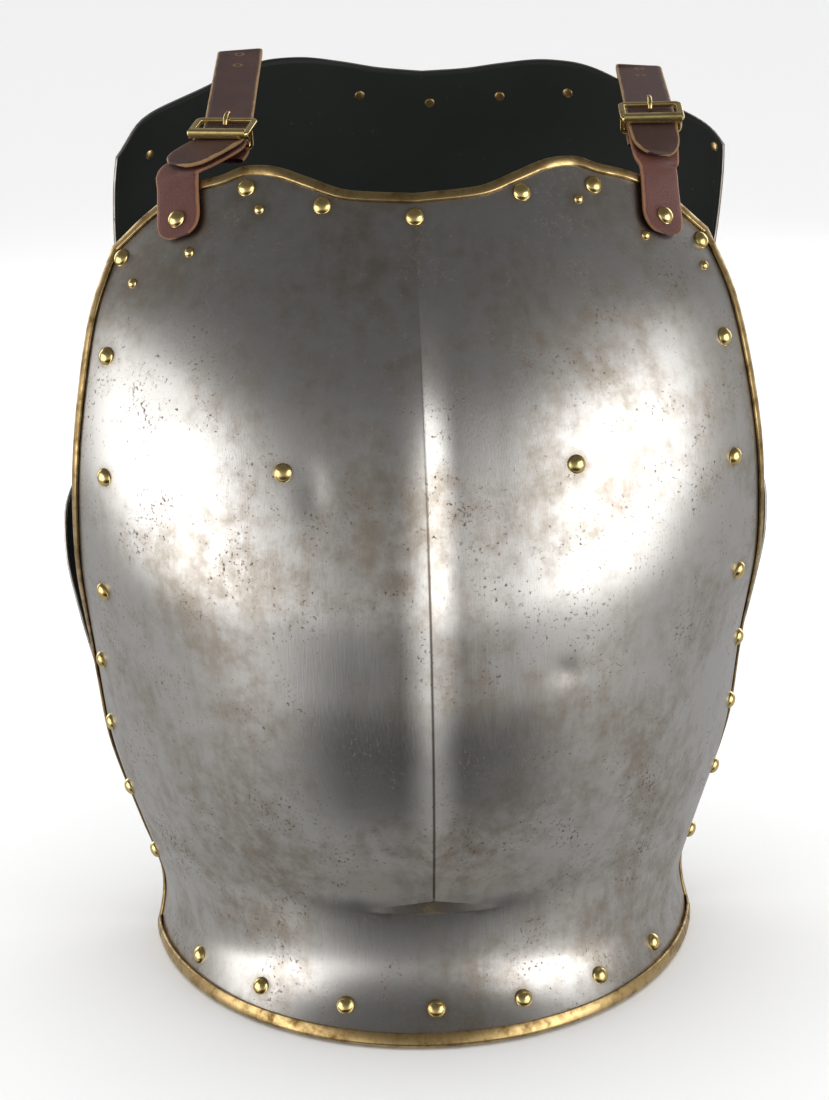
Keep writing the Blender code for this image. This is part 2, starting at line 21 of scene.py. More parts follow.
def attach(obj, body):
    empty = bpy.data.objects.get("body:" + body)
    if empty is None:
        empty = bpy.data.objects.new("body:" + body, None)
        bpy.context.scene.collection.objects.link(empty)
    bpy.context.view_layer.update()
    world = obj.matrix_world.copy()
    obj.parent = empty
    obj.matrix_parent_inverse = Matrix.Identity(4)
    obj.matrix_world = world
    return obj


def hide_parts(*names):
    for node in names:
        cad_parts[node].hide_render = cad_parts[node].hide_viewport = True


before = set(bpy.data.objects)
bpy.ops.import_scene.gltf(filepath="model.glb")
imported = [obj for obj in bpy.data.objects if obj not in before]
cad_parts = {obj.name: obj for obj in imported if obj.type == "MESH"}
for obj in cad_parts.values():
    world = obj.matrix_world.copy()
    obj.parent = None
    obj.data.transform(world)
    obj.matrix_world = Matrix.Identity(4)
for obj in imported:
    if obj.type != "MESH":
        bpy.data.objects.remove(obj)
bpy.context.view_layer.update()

# %% [markdown]
# ## Camera
#
# The photograph looks down on the cuirass by about 17 degrees, from a little to one side, and
# was held slightly out of level. A camera needs a place and three directions: right, up and
# backwards. They are worked out once and put in the columns of its matrix, which is clearer
# than guessing three Euler angles. The field of view is set by the picture's height, 0.583 m
# at the distance of the cuirass.

# %% Camera
LOOK_DOWN = math.radians(17.0)
LOOK_ASIDE = math.radians(1.9)
ROLL = math.radians(1.4)
CAMERA_DISTANCE = 1.590
PICTURE_HEIGHT = 0.583
AIM = Vector((0.0, 0.0306, 0.204))

forward = Vector((math.sin(LOOK_ASIDE) * math.cos(LOOK_DOWN),
                  math.cos(LOOK_ASIDE) * math.cos(LOOK_DOWN),
                  -math.sin(LOOK_DOWN)))
level_right = Vector((math.cos(LOOK_ASIDE), -math.sin(LOOK_ASIDE), 0.0))
level_up = level_right.cross(forward)
right = level_right * math.cos(ROLL) - level_up * math.sin(ROLL)
up = level_right * math.sin(ROLL) + level_up * math.cos(ROLL)


def put(name, data):
    """A new object of the scene that shows a mesh, a light or a camera."""
    thing = bpy.data.objects.new(name, data)
    bpy.context.scene.collection.objects.link(thing)
    return thing


lens = bpy.data.cameras.new("camera")
lens.sensor_fit = "VERTICAL"
lens.sensor_height = 24.0
lens.lens = lens.sensor_height / 2 / (PICTURE_HEIGHT / 2 / CAMERA_DISTANCE)
camera = put("camera", lens)
axes = Matrix((right, up, -forward)).transposed().to_4x4()
camera.matrix_world = Matrix.Translation(AIM - forward * CAMERA_DISTANCE) @ axes
bpy.context.scene.camera = camera
print("focal length", round(lens.lens, 1), "mm")

# %% [markdown]
# ## Colours and nodes
#
# Colours are written as sRGB hex values, as a designer reads them off a picture, and turned
# to the linear values that Cycles works in. One small function adds a node, sets its
# inputs and links the sockets that come from other nodes, so each material below reads
# as a list of steps.

# %% Colour and node helpers
def linear(hex_colour):
    """Linear RGBA of an sRGB hex colour."""
    values = [int(hex_colour[i:i + 2], 16) / 255 for i in (1, 3, 5)]
    return tuple(v / 12.92 if v <= 0.04045 else ((v + 0.055) / 1.055) ** 2.4 for v in values) + (1.0,)


def add(material, kind, inputs=None, **settings):
    """Add a node with settings, and give its inputs values or links from other sockets."""
    node = material.node_tree.nodes.new(kind)
    for name, value in settings.items():
        setattr(node, name, value)
    for name, value in (inputs or {}).items():
        if isinstance(value, bpy.types.NodeSocket):
            material.node_tree.links.new(value, node.inputs[name])
        else:
            node.inputs[name].default_value = value
    return node


def new_material(name):
    """A material with its Principled shader, ready to be given nodes."""
    material = bpy.data.materials.new(name)
    material.use_nodes = True
    return material, material.node_tree.nodes["Principled BSDF"]


def join(material, shader, sources):
    """Link sockets to the shader's inputs of the given names."""
    for name, source in sources.items():
        material.node_tree.links.new(source, shader.inputs[name])

# %% [markdown]
# ## Studio
#
# The floor is plain and pale and runs far enough to fill the frame. Polished steel shows its
# surroundings more than its own colour: the two bright fields on the chest are tall
# soft boxes left and right of the camera, and the dark shape on the belly is the unlit
# ground between them. Lights that would only spoil these reflections are kept out of
# glossy rays and light the floor alone.

# %% Floor and lights
def soft_box(name, place, aim, width, height, power):
    """A lit rectangle that faces a point."""
    data = bpy.data.lights.new(name, "AREA")
    data.shape = "RECTANGLE"
    data.size = width
    data.size_y = height
    data.energy = power
    light = put(name, data)
    light.location = place
    light.rotation_euler = (Vector(aim) - Vector(place)).to_track_quat("-Z", "Y").to_euler()


floor_mesh = bpy.data.meshes.new("floor")
floor_shape = bmesh.new()
bmesh.ops.create_grid(floor_shape, x_segments=1, y_segments=1, size=9.0)
floor_shape.to_mesh(floor_mesh)
floor_shape.free()
floor = put("floor", floor_mesh)
floor.location = (0.0, 3.0, -0.0003)
floor.visible_glossy = False
paper, paper_shader = new_material("white_studio_paper")
paper_shader.inputs["Base Color"].default_value = linear("#f4f4f4")
paper_shader.inputs["Roughness"].default_value = 0.9
floor_mesh.materials.append(paper)

soft_box("left_box", (-1.45, -0.39, 0.33), (0.0, 0.0, 0.25), 1.3, 1.1, 9.0)
soft_box("right_box", (1.27, -0.79, 0.50), (0.0, 0.0, 0.25), 1.2, 1.1, 8.5)
soft_box("back_left_box", (-1.1, 1.3, 0.60), (0.0, 0.1, 0.25), 1.0, 1.1, 6.0)
soft_box("back_right_box", (1.1, 1.3, 0.60), (0.0, 0.1, 0.25), 1.0, 1.1, 6.0)

daylight = bpy.data.lights.new("floor_light", "SUN")
daylight.energy = 2.6
daylight.angle = math.radians(100.0)
floor_light = put("floor_light", daylight)
floor_light.rotation_euler = (math.radians(-12.0), 0.0, 0.0)
floor_light.visible_glossy = False

# %% [markdown]
# The surroundings are grey walls under a dark ceiling. The polished plates would look like
# flat paint under an even sky, so the sky is graded: dark overhead, middle grey at eye level
# with a glow on either side, and unlit in front of the cuirass near the ground. The
# direction of a sky point is its own vector, and its dot product with a chosen direction gives
# a soft round patch. The unlit patch is wide, because the vector's X is shortened before.
# Camera rays see a plain pale backdrop instead.

# %% Graded sky
RIGHT_GLOW = (0.72, -0.69, -0.03)
LEFT_GLOW = (-0.81, -0.57, -0.12)
UNLIT_GROUND = (0.0, -0.743, -0.669)
NARROWING = (0.42, 1.0, 1.0)
WALL_GREYS = ((0.00, 0.40), (0.20, 0.50), (0.42, 0.48), (0.55, 0.38), (0.75, 0.20), (0.88, 0.12))

world = bpy.data.worlds.new("studio")
world.use_nodes = True
bpy.context.scene.world = world
sky = world.node_tree.nodes["Background"]
direction = add(world, "ShaderNodeTexCoord").outputs["Generated"]
height = add(world, "ShaderNodeSeparateXYZ", {0: direction}).outputs["Z"]
height = add(world, "ShaderNodeMapRange", {"Value": height, "From Min": -1.0, "From Max": 1.0}).outputs[0]
walls = add(world, "ShaderNodeValToRGB", {"Fac": height})
greys = walls.color_ramp.elements
greys.remove(greys[-1])
for i, (share, grey) in enumerate(WALL_GREYS):
    stop = greys[0] if i == 0 else greys.new(share)
    stop.position = share
    stop.color = (grey, grey, grey, 1.0)

shade = walls.outputs[0]
for aim, edge, core in ((RIGHT_GLOW, 0.80, 0.97), (LEFT_GLOW, 0.84, 0.98)):
    toward = add(world, "ShaderNodeVectorMath", {0: direction, 1: aim},
                 operation="DOT_PRODUCT").outputs["Value"]
    glow = add(world, "ShaderNodeMapRange",
               {"Value": toward, "From Min": edge, "From Max": core, "To Max": 0.95},
               interpolation_type="SMOOTHSTEP").outputs[0]
    shade = add(world, "ShaderNodeVectorMath", {0: shade, 1: glow}).outputs[0]
narrowed = add(world, "ShaderNodeVectorMath", {0: direction, 1: NARROWING}, operation="MULTIPLY").outputs[0]
narrowed = add(world, "ShaderNodeVectorMath", {0: narrowed}, operation="NORMALIZE").outputs[0]
toward = add(world, "ShaderNodeVectorMath", {0: narrowed, 1: UNLIT_GROUND},
             operation="DOT_PRODUCT").outputs["Value"]
unlit = add(world, "ShaderNodeMapRange",
            {"Value": toward, "From Min": 0.86, "From Max": 0.965, "To Min": 1.0, "To Max": 0.09},
            interpolation_type="SMOOTHSTEP").outputs[0]
shade = add(world, "ShaderNodeVectorMath", {0: shade, "Scale": unlit}, operation="SCALE").outputs[0]
seen = add(world, "ShaderNodeLightPath").outputs["Is Camera Ray"]
backdrop = add(world, "ShaderNodeMix", {"Factor": seen, 6: shade, 7: linear("#ffffff")},
               data_type="RGBA").outputs[2]
world.node_tree.links.new(backdrop, sky.inputs["Color"])
sky.inputs["Strength"].default_value = 1.0
bpy.context.scene.view_settings.view_transform = "Standard"

# %% [markdown]
# ## The shape of the plates
#
# Each plate is a stack of half ovals. For a set of heights, a table gives the oval's half
# width at the plate's edge, its depth, how much of the medial ridge it carries, and how
# far it wraps round the body. These are the same tables as the CAD model's, as shares of the
# plate's own sizes. A smoothing pass over each column takes out the small changes of
# curvature at the table's rows, which polished steel would show as bands.

# %% Sizes and sections of the plates
BREAST_WALL = 0.0020
BACK_WALL = 0.0016
RIDGE_HEIGHT = 0.006
RIDGE_HALF_WIDTH = 0.036
FIT_GAP = 0.0003
BREAST = dict(toward=-1.0, seam_y=0.0306, foot=0.0017, height=0.425, half_width=0.173, depth=0.195,
              lean=0.0, tilt=0.0)
BACK = dict(toward=1.0, seam_y=0.0246, foot=0.00056, height=0.449, half_width=0.1855, depth=0.146,
            lean=0.014, tilt=0.040)

BREAST_SECTIONS = (
    # height, half_width, depth, ridge, wrap
    (0.000, 0.825, 0.897, 0.0, 86.0),
    (0.014, 0.815, 0.864, 0.0, 86.0),
    (0.033, 0.806, 0.823, 0.0, 86.0),
    (0.052, 0.799, 0.797, 0.0, 86.0),
    (0.073, 0.802, 0.782, 0.0, 86.0),
    (0.113, 0.829, 0.779, 0.0, 85.0),
    (0.151, 0.858, 0.782, 0.0, 84.0),
    (0.179, 0.880, 0.805, 1.0, 84.0),
    (0.226, 0.915, 0.862, 1.0, 83.5),
    (0.282, 0.945, 0.918, 1.0, 82.5),
    (0.334, 0.960, 0.954, 1.0, 82.5),
    (0.388, 0.972, 0.982, 1.0, 81.0),
    (0.438, 0.978, 0.995, 1.0, 76.0),
    (0.527, 0.984, 1.000, 1.0, 66.5),
    (0.612, 0.978, 0.974, 1.0, 61.0),
    (0.678, 0.966, 0.938, 1.0, 58.0),
    (0.753, 0.942, 0.879, 0.9, 57.0),
    (0.833, 0.905, 0.785, 0.6, 58.0),
    (0.904, 0.835, 0.682, 0.2, 61.0),
    (1.000, 0.740, 0.513, 0.0, 66.0),
)
BREAST_OUTLINE = (
    # half_width, height
    (0.00, 0.972),
    (0.18, 0.976),
    (0.29, 0.989),
    (0.40, 1.000),
    (0.456, 0.999),
    (0.503, 0.990),
    (0.61, 0.976),
    (0.71, 0.950),
    (0.78, 0.925),
    (0.83, 0.905),
    (1.10, 0.820),
)
BACK_SECTIONS = (
    # height, half_width, depth, ridge, wrap
    (0.000, 0.749, 0.884, 0.0, 89.0),
    (0.022, 0.739, 0.829, 0.0, 89.0),
    (0.045, 0.730, 0.791, 0.0, 89.0),
    (0.070, 0.733, 0.767, 0.0, 89.0),
    (0.135, 0.776, 0.774, 0.0, 89.0),
    (0.224, 0.852, 0.856, 0.0, 89.0),
    (0.314, 0.916, 0.918, 0.0, 88.5),
    (0.404, 0.970, 0.966, 0.0, 88.0),
    (0.471, 0.998, 0.986, 0.0, 87.5),
    (0.511, 1.000, 0.992, 0.0, 86.0),
    (0.547, 0.970, 0.993, 0.0, 83.0),
    (0.578, 0.922, 0.997, 0.0, 79.0),
    (0.619, 0.879, 1.000, 0.0, 74.0),
    (0.673, 0.855, 1.000, 0.0, 70.0),
    (0.751, 0.852, 0.993, 0.0, 66.5),
    (0.818, 0.866, 0.973, 0.0, 64.5),
    (0.874, 0.870, 0.942, 0.0, 63.5),
    (0.901, 0.866, 0.921, 0.0, 63.0),
    (1.000, 0.840, 0.822, 0.0, 62.0),
)
BACK_OUTLINE = (
    # half_width, height
    (0.00, 0.981),
    (0.12, 0.985),
    (0.23, 0.993),
    (0.36, 1.000),
    (0.43, 0.999),
    (0.49, 0.994),
    (0.55, 0.984),
    (0.62, 0.970),
    (0.70, 0.957),
    (0.78, 0.944),
    (0.83, 0.930),
    (0.87, 0.900),
    (1.10, 0.830),
)

# %% Read a table's column as a smooth curve
def smooth_column(table, column, blur, samples=500):
    """Sample a column between its rows without overshoot, then blur it over a share of its length."""
    keys = np.array([row[0] for row in table])
    values = np.array([row[column] for row in table])
    slopes = np.diff(values) / np.diff(keys)
    tangents = [slopes[0]]
    for before, after in zip(slopes, slopes[1:]):
        tangents.append(2 * before * after / (before + after) if before * after > 0 else 0.0)
    tangents.append(slopes[-1])
    places = np.linspace(keys[0], keys[-1], samples)
    curve = []
    for at in places:
        i = min(int(np.searchsorted(keys, at, side="right")) - 1, len(keys) - 2)
        step = keys[i + 1] - keys[i]
        t = (at - keys[i]) / step
        start = values[i] * (1 + 2 * t) * (1 - t) ** 2 + step * tangents[i] * t * (1 - t) ** 2
        end = values[i + 1] * t * t * (3 - 2 * t) + step * tangents[i + 1] * t * t * (t - 1)
        curve.append(start + end)
    reach = max(1, round(3 * blur / (keys[-1] - keys[0]) * samples))
    weights = np.exp(-0.5 * (np.arange(-reach, reach + 1) / (reach / 3)) ** 2)
    padded = np.pad(curve, reach, mode="reflect", reflect_type="odd")
    return places, np.convolve(padded, weights / weights.sum(), mode="valid")


def read(curve, at):
    """Value of a smooth column at a share of the height or half width."""
    return float(np.interp(at, *curve))


SECTION_BLUR = 0.012
OUTLINE_BLUR = 0.018
TABLES = ((BREAST, BREAST_SECTIONS, BREAST_OUTLINE), (BACK, BACK_SECTIONS, BACK_OUTLINE))
for plate, sections, outline in TABLES:
    plate["curves"] = [smooth_column(sections, column, SECTION_BLUR) for column in (1, 2, 3, 4)]
    plate["outline"] = smooth_column(outline, 1, OUTLINE_BLUR)
print("breast half width at mid height:", round(read(BREAST["curves"][0], 0.5), 3))

# %% A plate's middle surface
def section(plate, z):
    """Half width of the whole oval, depth, ridge share and wrap of a plate's section at a height."""
    share = (z - plate["foot"]) / (plate["height"] - plate["foot"])
    half, depth, ridge, wrap = (read(curve, share) for curve in plate["curves"])
    wrap = math.radians(wrap)
    return plate["half_width"] * half / math.sin(wrap), plate["depth"] * depth, ridge, wrap


def middle(plate, z):
    """Place of a section's middle across the body: the backplate hangs a little askew."""
    return plate["lean"] * (z / plate["height"]) ** 3


def top_height(plate, x):
    """Height of a plate's top edge at a place across the body."""
    off = x - plate["lean"]
    return plate["height"] * read(plate["outline"], abs(off) / plate["half_width"]) - plate["tilt"] * off


RIDGE_FOOT = 0.0625
RIDGE_APEX = 0.0725
CREST_HALF_WIDTH = 0.0150
CREST_SHARE = 0.60
CREST_GROWS_OVER = 0.040


def ridge_start(x):
    """Height at which the ridge reaches its full rise: an apex in the middle, falling to each side."""
    return RIDGE_FOOT + 0.0010 + (RIDGE_APEX - RIDGE_FOOT) * max(0.0, 1 - abs(x) / RIDGE_HALF_WIDTH)


def ridge_rise(x, z, share):
    """Rise of the ridge: a swell with a narrow crest, which ends below in a small steep facet."""
    swell = max(0.0, 1 - abs(x) / RIDGE_HALF_WIDTH) ** 1.5
    flank = max(0.0, 1 - abs(x) / CREST_HALF_WIDTH) ** 2
    sharper = CREST_SHARE * min(1.0, max(0.0, (z - RIDGE_APEX) / CREST_GROWS_OVER))
    crest = (1 - sharper) * swell + sharper * flank
    facet = min(1.0, max(0.0, (z - RIDGE_FOOT) / (ridge_start(x) - RIDGE_FOOT)))
    return RIDGE_HEIGHT * crest * facet * (share if z > 0.1 else 1.0)


DENTS = (
    # x, z, radius across, radius along, depth
    (-0.052, 0.2875, 0.0075, 0.0130, 0.0011),
    (0.064, 0.197, 0.0060, 0.0060, 0.0007),
    (-0.112, 0.051, 0.0130, 0.0028, 0.0012),
    (-0.126, 0.325, 0.0200, 0.0120, 0.0006),
    (0.112, 0.140, 0.0180, 0.0240, 0.0005),
)


def hammering(x, z, side):
    """Unevenness that the hammer left: a fraction of a millimetre over a few centimetres."""
    near = noise.noise(Vector((x * 22, z * 22, side)))
    far = noise.noise(Vector((x * 9, z * 9, side + 7)))
    return 0.00028 * near + 0.0006 * far


def surface(plate, x, z, worn=True):
    """Point of a plate's middle surface at a place across the body and a height."""
    oval, depth, ridge, _ = section(plate, z)
    off = x - middle(plate, z)
    out = depth * math.sqrt(max(0.0, 1 - (off / oval) ** 2))
    if plate is BREAST:
        out += ridge_rise(x, z, ridge)
    if worn:
        out += hammering(x, z, plate["toward"])
        if plate is BREAST:
            for dent_x, dent_z, wide, tall, deep in DENTS:
                out -= deep * math.exp(-((x - dent_x) / wide) ** 2 - ((z - dent_z) / tall) ** 2)
    return Vector((x, plate["seam_y"] + plate["toward"] * out, z))


def normal(plate, x, z):
    """Direction out of the body at a place on a plate."""
    reach = 0.002
    across = surface(plate, x + reach, z, False) - surface(plate, x - reach, z, False)
    upward = surface(plate, x, z + reach, False) - surface(plate, x, z - reach, False)
    out = across.cross(upward).normalized()
    return out if out.y * plate["toward"] > 0 else -out


def turned_x(plate, turn, z):
    """Place across the body at a signed share of a section's turn from the middle to the edge."""
    oval, _, _, wrap = section(plate, z)
    return middle(plate, z) + oval * math.sin(turn * wrap)

# %% [markdown]
# ## Skinning rows of points
#
# Every curved piece here is a sheet or a tube laid through rows of points. Blender's grid
# operator makes the sheet flat, with its faces in order, and each vertex is then moved to its
# place. A tube is a sheet whose first and last columns meet, so its doubles are merged. The
# grid's own coordinates become the UV map before anything moves.

# %% Lay a grid through rows of points
def skin(name, rows, tube=False, ring=False, material=None):
    """A mesh object through rows of points. A tube closes across the rows, a ring along them."""
    down, across = len(rows) - 1 + ring, len(rows[0]) - 1 + tube
    sheet = bmesh.new()
    bmesh.ops.create_grid(sheet, x_segments=across, y_segments=down, size=0.5)
    uv = sheet.loops.layers.uv.new("lay")
    for face in sheet.faces:
        for loop in face.loops:
            loop[uv].uv = (loop.vert.co.x + 0.5, loop.vert.co.y + 0.5)
    for vert in sheet.verts:
        i = round((vert.co.x + 0.5) * across) % len(rows[0])
        j = round((vert.co.y + 0.5) * down) % len(rows)
        vert.co = rows[j][i]
    bmesh.ops.remove_doubles(sheet, verts=sheet.verts, dist=0.000002)
    bmesh.ops.recalc_face_normals(sheet, faces=sheet.faces)
    return finish_mesh(name, sheet, material)


def finish_mesh(name, shape, *materials):
    """Turn a bmesh into a smooth-shaded object of the scene."""
    mesh = bpy.data.meshes.new(name)
    shape.to_mesh(mesh)
    shape.free()
    mesh.shade_smooth()
    for material in materials:
        if material:
            mesh.materials.append(material)
    return put(name, mesh)


def stand_for(piece, node):
    """The piece replaces a CAD node and rides on the part's one body."""
    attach(piece, "root")
    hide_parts(node)

# %% [markdown]
# ## Materials
#
# The steel is plain carbon steel, hammered and then polished bright, and by now dulled: a
# thin brown bloom lies in clouds, small pits of rust are scattered in groups, and fine
# scratches run mostly up and down. Metal has no diffuse colour, so the bloom is a warmer,
# darker reflection with more roughness, and only the pits are truly rust.

# %% Old polished steel
def old_steel(name):
    """Hand-polished carbon steel with brown bloom, rust pits and fine scratches."""
    material, shader = new_material(name)
    place = add(material, "ShaderNodeTexCoord").outputs["Object"]
    # Dirt and painted shade round the rivet heads and along the edges, from an attribute of the plate
    dirt_and_painted_shade = add(material, "ShaderNodeAttribute", attribute_name="dirt_and_painted_shade").outputs["Fac"]
    # Clouds of bloom about 60 mm across, broken up by smaller ones of 10 mm
    clouds = add(material, "ShaderNodeTexNoise",
                 {"Vector": place, "Scale": 15.0, "Detail": 5.0, "Roughness": 0.55}).outputs["Fac"]
    mottle = add(material, "ShaderNodeTexNoise",
                 {"Vector": place, "Scale": 100.0, "Detail": 7.0, "Roughness": 0.7}).outputs["Fac"]
    bloom = add(material, "ShaderNodeMath", {0: clouds, 1: mottle}, operation="MULTIPLY").outputs[0]
    bloom = add(material, "ShaderNodeMapRange", {"Value": bloom, "From Min": 0.17, "From Max": 0.44},
                interpolation_type="SMOOTHSTEP").outputs[0]
    bloom = add(material, "ShaderNodeMath", {0: bloom, 1: dirt_and_painted_shade}, operation="ADD", use_clamp=True).outputs[0]
    # Stains about 4 mm wide that ran down and were wiped
    hung = add(material, "ShaderNodeMapping", {"Vector": place, "Scale": (1.0, 1.0, 0.16)}).outputs[0]
    runs = add(material, "ShaderNodeTexNoise",
               {"Vector": hung, "Scale": 150.0, "Detail": 4.0, "Roughness": 0.6}).outputs["Fac"]
    runs = add(material, "ShaderNodeMath", {0: runs, 1: clouds}, operation="MULTIPLY").outputs[0]
    runs = add(material, "ShaderNodeMapRange",
               {"Value": runs, "From Min": 0.26, "From Max": 0.44, "To Max": 0.5}).outputs[0]
    # Pits of 0.5 to 1 mm, only where a wider noise lets them gather
    groups = add(material, "ShaderNodeTexNoise",
                 {"Vector": place, "Scale": 34.0, "Detail": 6.0, "Roughness": 0.65}).outputs["Fac"]
    groups = add(material, "ShaderNodeMapRange",
                 {"Value": groups, "From Min": 0.42, "From Max": 0.70, "To Max": 0.15}).outputs[0]
    pits = add(material, "ShaderNodeTexNoise",
               {"Vector": place, "Scale": 560.0, "Detail": 4.0, "Roughness": 0.6}).outputs["Fac"]
    pits = add(material, "ShaderNodeMath", {0: pits, 1: groups}, operation="ADD").outputs[0]
    pits = add(material, "ShaderNodeMapRange", {"Value": pits, "From Min": 0.66, "From Max": 0.80}).outputs[0]
    # Painted shade: a dark line a millimetre wide along the ridge's raised crest, for the shade of its sharp
    # fold
    parts = add(material, "ShaderNodeSeparateXYZ", {0: place}).outputs
    off_ridge = add(material, "ShaderNodeMath", {0: parts["X"]}, operation="ABSOLUTE").outputs[0]
    painted_crest_shade = add(material, "ShaderNodeMapRange", {"Value": off_ridge, "From Min": 0.0003, "From Max": 0.0009,
                                                  "To Min": 1.0, "To Max": 0.0}).outputs[0]
    in_front = add(material, "ShaderNodeMath", {0: parts["Y"], 1: 0.0}, operation="LESS_THAN").outputs[0]
    above_apex = add(material, "ShaderNodeMapRange", {"Value": parts["Z"], "From Min": RIDGE_APEX - 0.001,
                                                      "From Max": RIDGE_APEX + 0.003}).outputs[0]
    below_neck = add(material, "ShaderNodeMapRange", {"Value": parts["Z"], "From Min": 0.250, "From Max": 0.365,
                                                      "To Min": 0.85, "To Max": 0.0}).outputs[0]
    for limit in (in_front, above_apex, below_neck):
        painted_crest_shade = add(material, "ShaderNodeMath", {0: painted_crest_shade, 1: limit}, operation="MULTIPLY").outputs[0]
    # Scratches 0.2 mm wide and some 10 mm long
    drawn = add(material, "ShaderNodeMapping", {"Vector": place, "Scale": (1.0, 1.0, 0.05)}).outputs[0]
    scratches = add(material, "ShaderNodeTexNoise",
                    {"Vector": drawn, "Scale": 1400.0, "Detail": 2.0}).outputs["Fac"]

    colour = linear("#c6c3bf")
    for share, stain in ((bloom, "#a39b90"), (runs, "#9d8f7f"), (pits, "#6d5946"), (painted_crest_shade, "#3f362e")):
        colour = add(material, "ShaderNodeMix", {"Factor": share, 6: colour, 7: linear(stain)},
                     data_type="RGBA").outputs[2]
    rough = add(material, "ShaderNodeMapRange", {"Value": bloom, "To Min": 0.27, "To Max": 0.35}).outputs[0]
    rough = add(material, "ShaderNodeMath", {0: scratches, 1: 0.10, 2: rough},
                operation="MULTIPLY_ADD").outputs[0]
    rough = add(material, "ShaderNodeMath", {0: pits, 1: 0.30, 2: rough}, operation="MULTIPLY_ADD",
                use_clamp=True).outputs[0]
    metal = add(material, "ShaderNodeMapRange", {"Value": pits, "To Min": 1.0, "To Max": 0.85}).outputs[0]
    relief = add(material, "ShaderNodeBump",
                 {"Height": scratches, "Strength": 0.12, "Distance": 0.0003}).outputs[0]
    join(material, shader, {"Base Color": colour, "Roughness": rough, "Metallic": metal, "Normal": relief})
    return material


steel = old_steel("old_polished_steel")

# %% [markdown]
# The insides of both plates were painted black against rust. The paint is old oil paint, almost
# matt, with a green cast and brown specks where rust has come through.

# %% Black paint inside the plates
def inside_paint():
    """Brushed black oil paint over steel, specked with rust."""
    material, shader = new_material("black_oil_paint")
    place = add(material, "ShaderNodeTexCoord").outputs["Object"]
    specks = add(material, "ShaderNodeTexNoise",
                 {"Vector": place, "Scale": 240.0, "Detail": 3.0}).outputs["Fac"]
    patches = add(material, "ShaderNodeTexNoise",
                  {"Vector": place, "Scale": 20.0, "Detail": 4.0}).outputs["Fac"]
    rust = add(material, "ShaderNodeMath", {0: patches, 1: 0.30, 2: specks},
               operation="MULTIPLY_ADD").outputs[0]
    rust = add(material, "ShaderNodeMapRange", {"Value": rust, "From Min": 0.86, "From Max": 0.96}).outputs[0]
    colour = linear("#171b19")
    for share, stain in ((patches, "#262a26"), (rust, "#4a4636")):
        colour = add(material, "ShaderNodeMix", {"Factor": share, 6: colour, 7: linear(stain)},
                     data_type="RGBA").outputs[2]
    relief = add(material, "ShaderNodeBump",
                 {"Height": specks, "Strength": 0.15, "Distance": 0.0004}).outputs[0]
    join(material, shader, {"Base Color": colour, "Normal": relief})
    shader.inputs["Roughness"].default_value = 0.62
    shader.inputs["Specular IOR Level"].default_value = 0.3
    return material


black_paint = inside_paint()

# %% [markdown]
# Brass turns brown where hands don't rub it. The folded edge strip is duller, with brown in
# its low places, and the rivet heads are polished by wear to a clear yellow.

# %% Aged brass and rubbed brass
def brass(name, clean, tarnished, tarnish_from, roughness):
    """Rolled or cast brass, with tarnish in patches about 8 mm across."""
    material, shader = new_material(name)
    place = add(material, "ShaderNodeTexCoord").outputs["Object"]
    patches = add(material, "ShaderNodeTexNoise",
                  {"Vector": place, "Scale": 120.0, "Detail": 6.0, "Roughness": 0.65}).outputs["Fac"]
    tarnish = add(material, "ShaderNodeMapRange", {"Value": patches, "From Min": tarnish_from,
                                                   "From Max": tarnish_from + 0.25}).outputs[0]
    colour = add(material, "ShaderNodeMix", {"Factor": tarnish, 6: linear(clean), 7: linear(tarnished)},
                 data_type="RGBA").outputs[2]
    rough = add(material, "ShaderNodeMapRange",
                {"Value": tarnish, "To Min": roughness, "To Max": roughness + 0.25}).outputs[0]
    grain = add(material, "ShaderNodeTexNoise", {"Vector": place, "Scale": 900.0, "Detail": 3.0}).outputs["Fac"]
    relief = add(material, "ShaderNodeBump",
                 {"Height": grain, "Strength": 0.10, "Distance": 0.0003}).outputs[0]
    join(material, shader, {"Base Color": colour, "Roughness": rough, "Normal": relief})
    shader.inputs["Metallic"].default_value = 1.0
    return material


edge_brass = brass("aged_sheet_brass", "#cdb07a", "#7d6238", 0.42, 0.30)
rivet_brass = brass("rubbed_cast_brass", "#ead08c", "#a07f45", 0.50, 0.20)

# %% [markdown]
# The straps are vegetable-tanned cowhide, dyed on the face: dark brown for the billets and a
# redder brown for the straps below. The dye has worn off along both edges, where a crease
# line was pressed, and pale tan shows. The grain is a fine net of creases about 1 mm apart,
# which a Voronoi pattern draws. Two attributes of the strap's mesh, the share across it and
# the distance along it, place the worn edges, the crease lines and the punched holes.

# %% Dyed harness leather
STRAP_WIDTH = 0.0240
HOLE_PITCH = 0.020


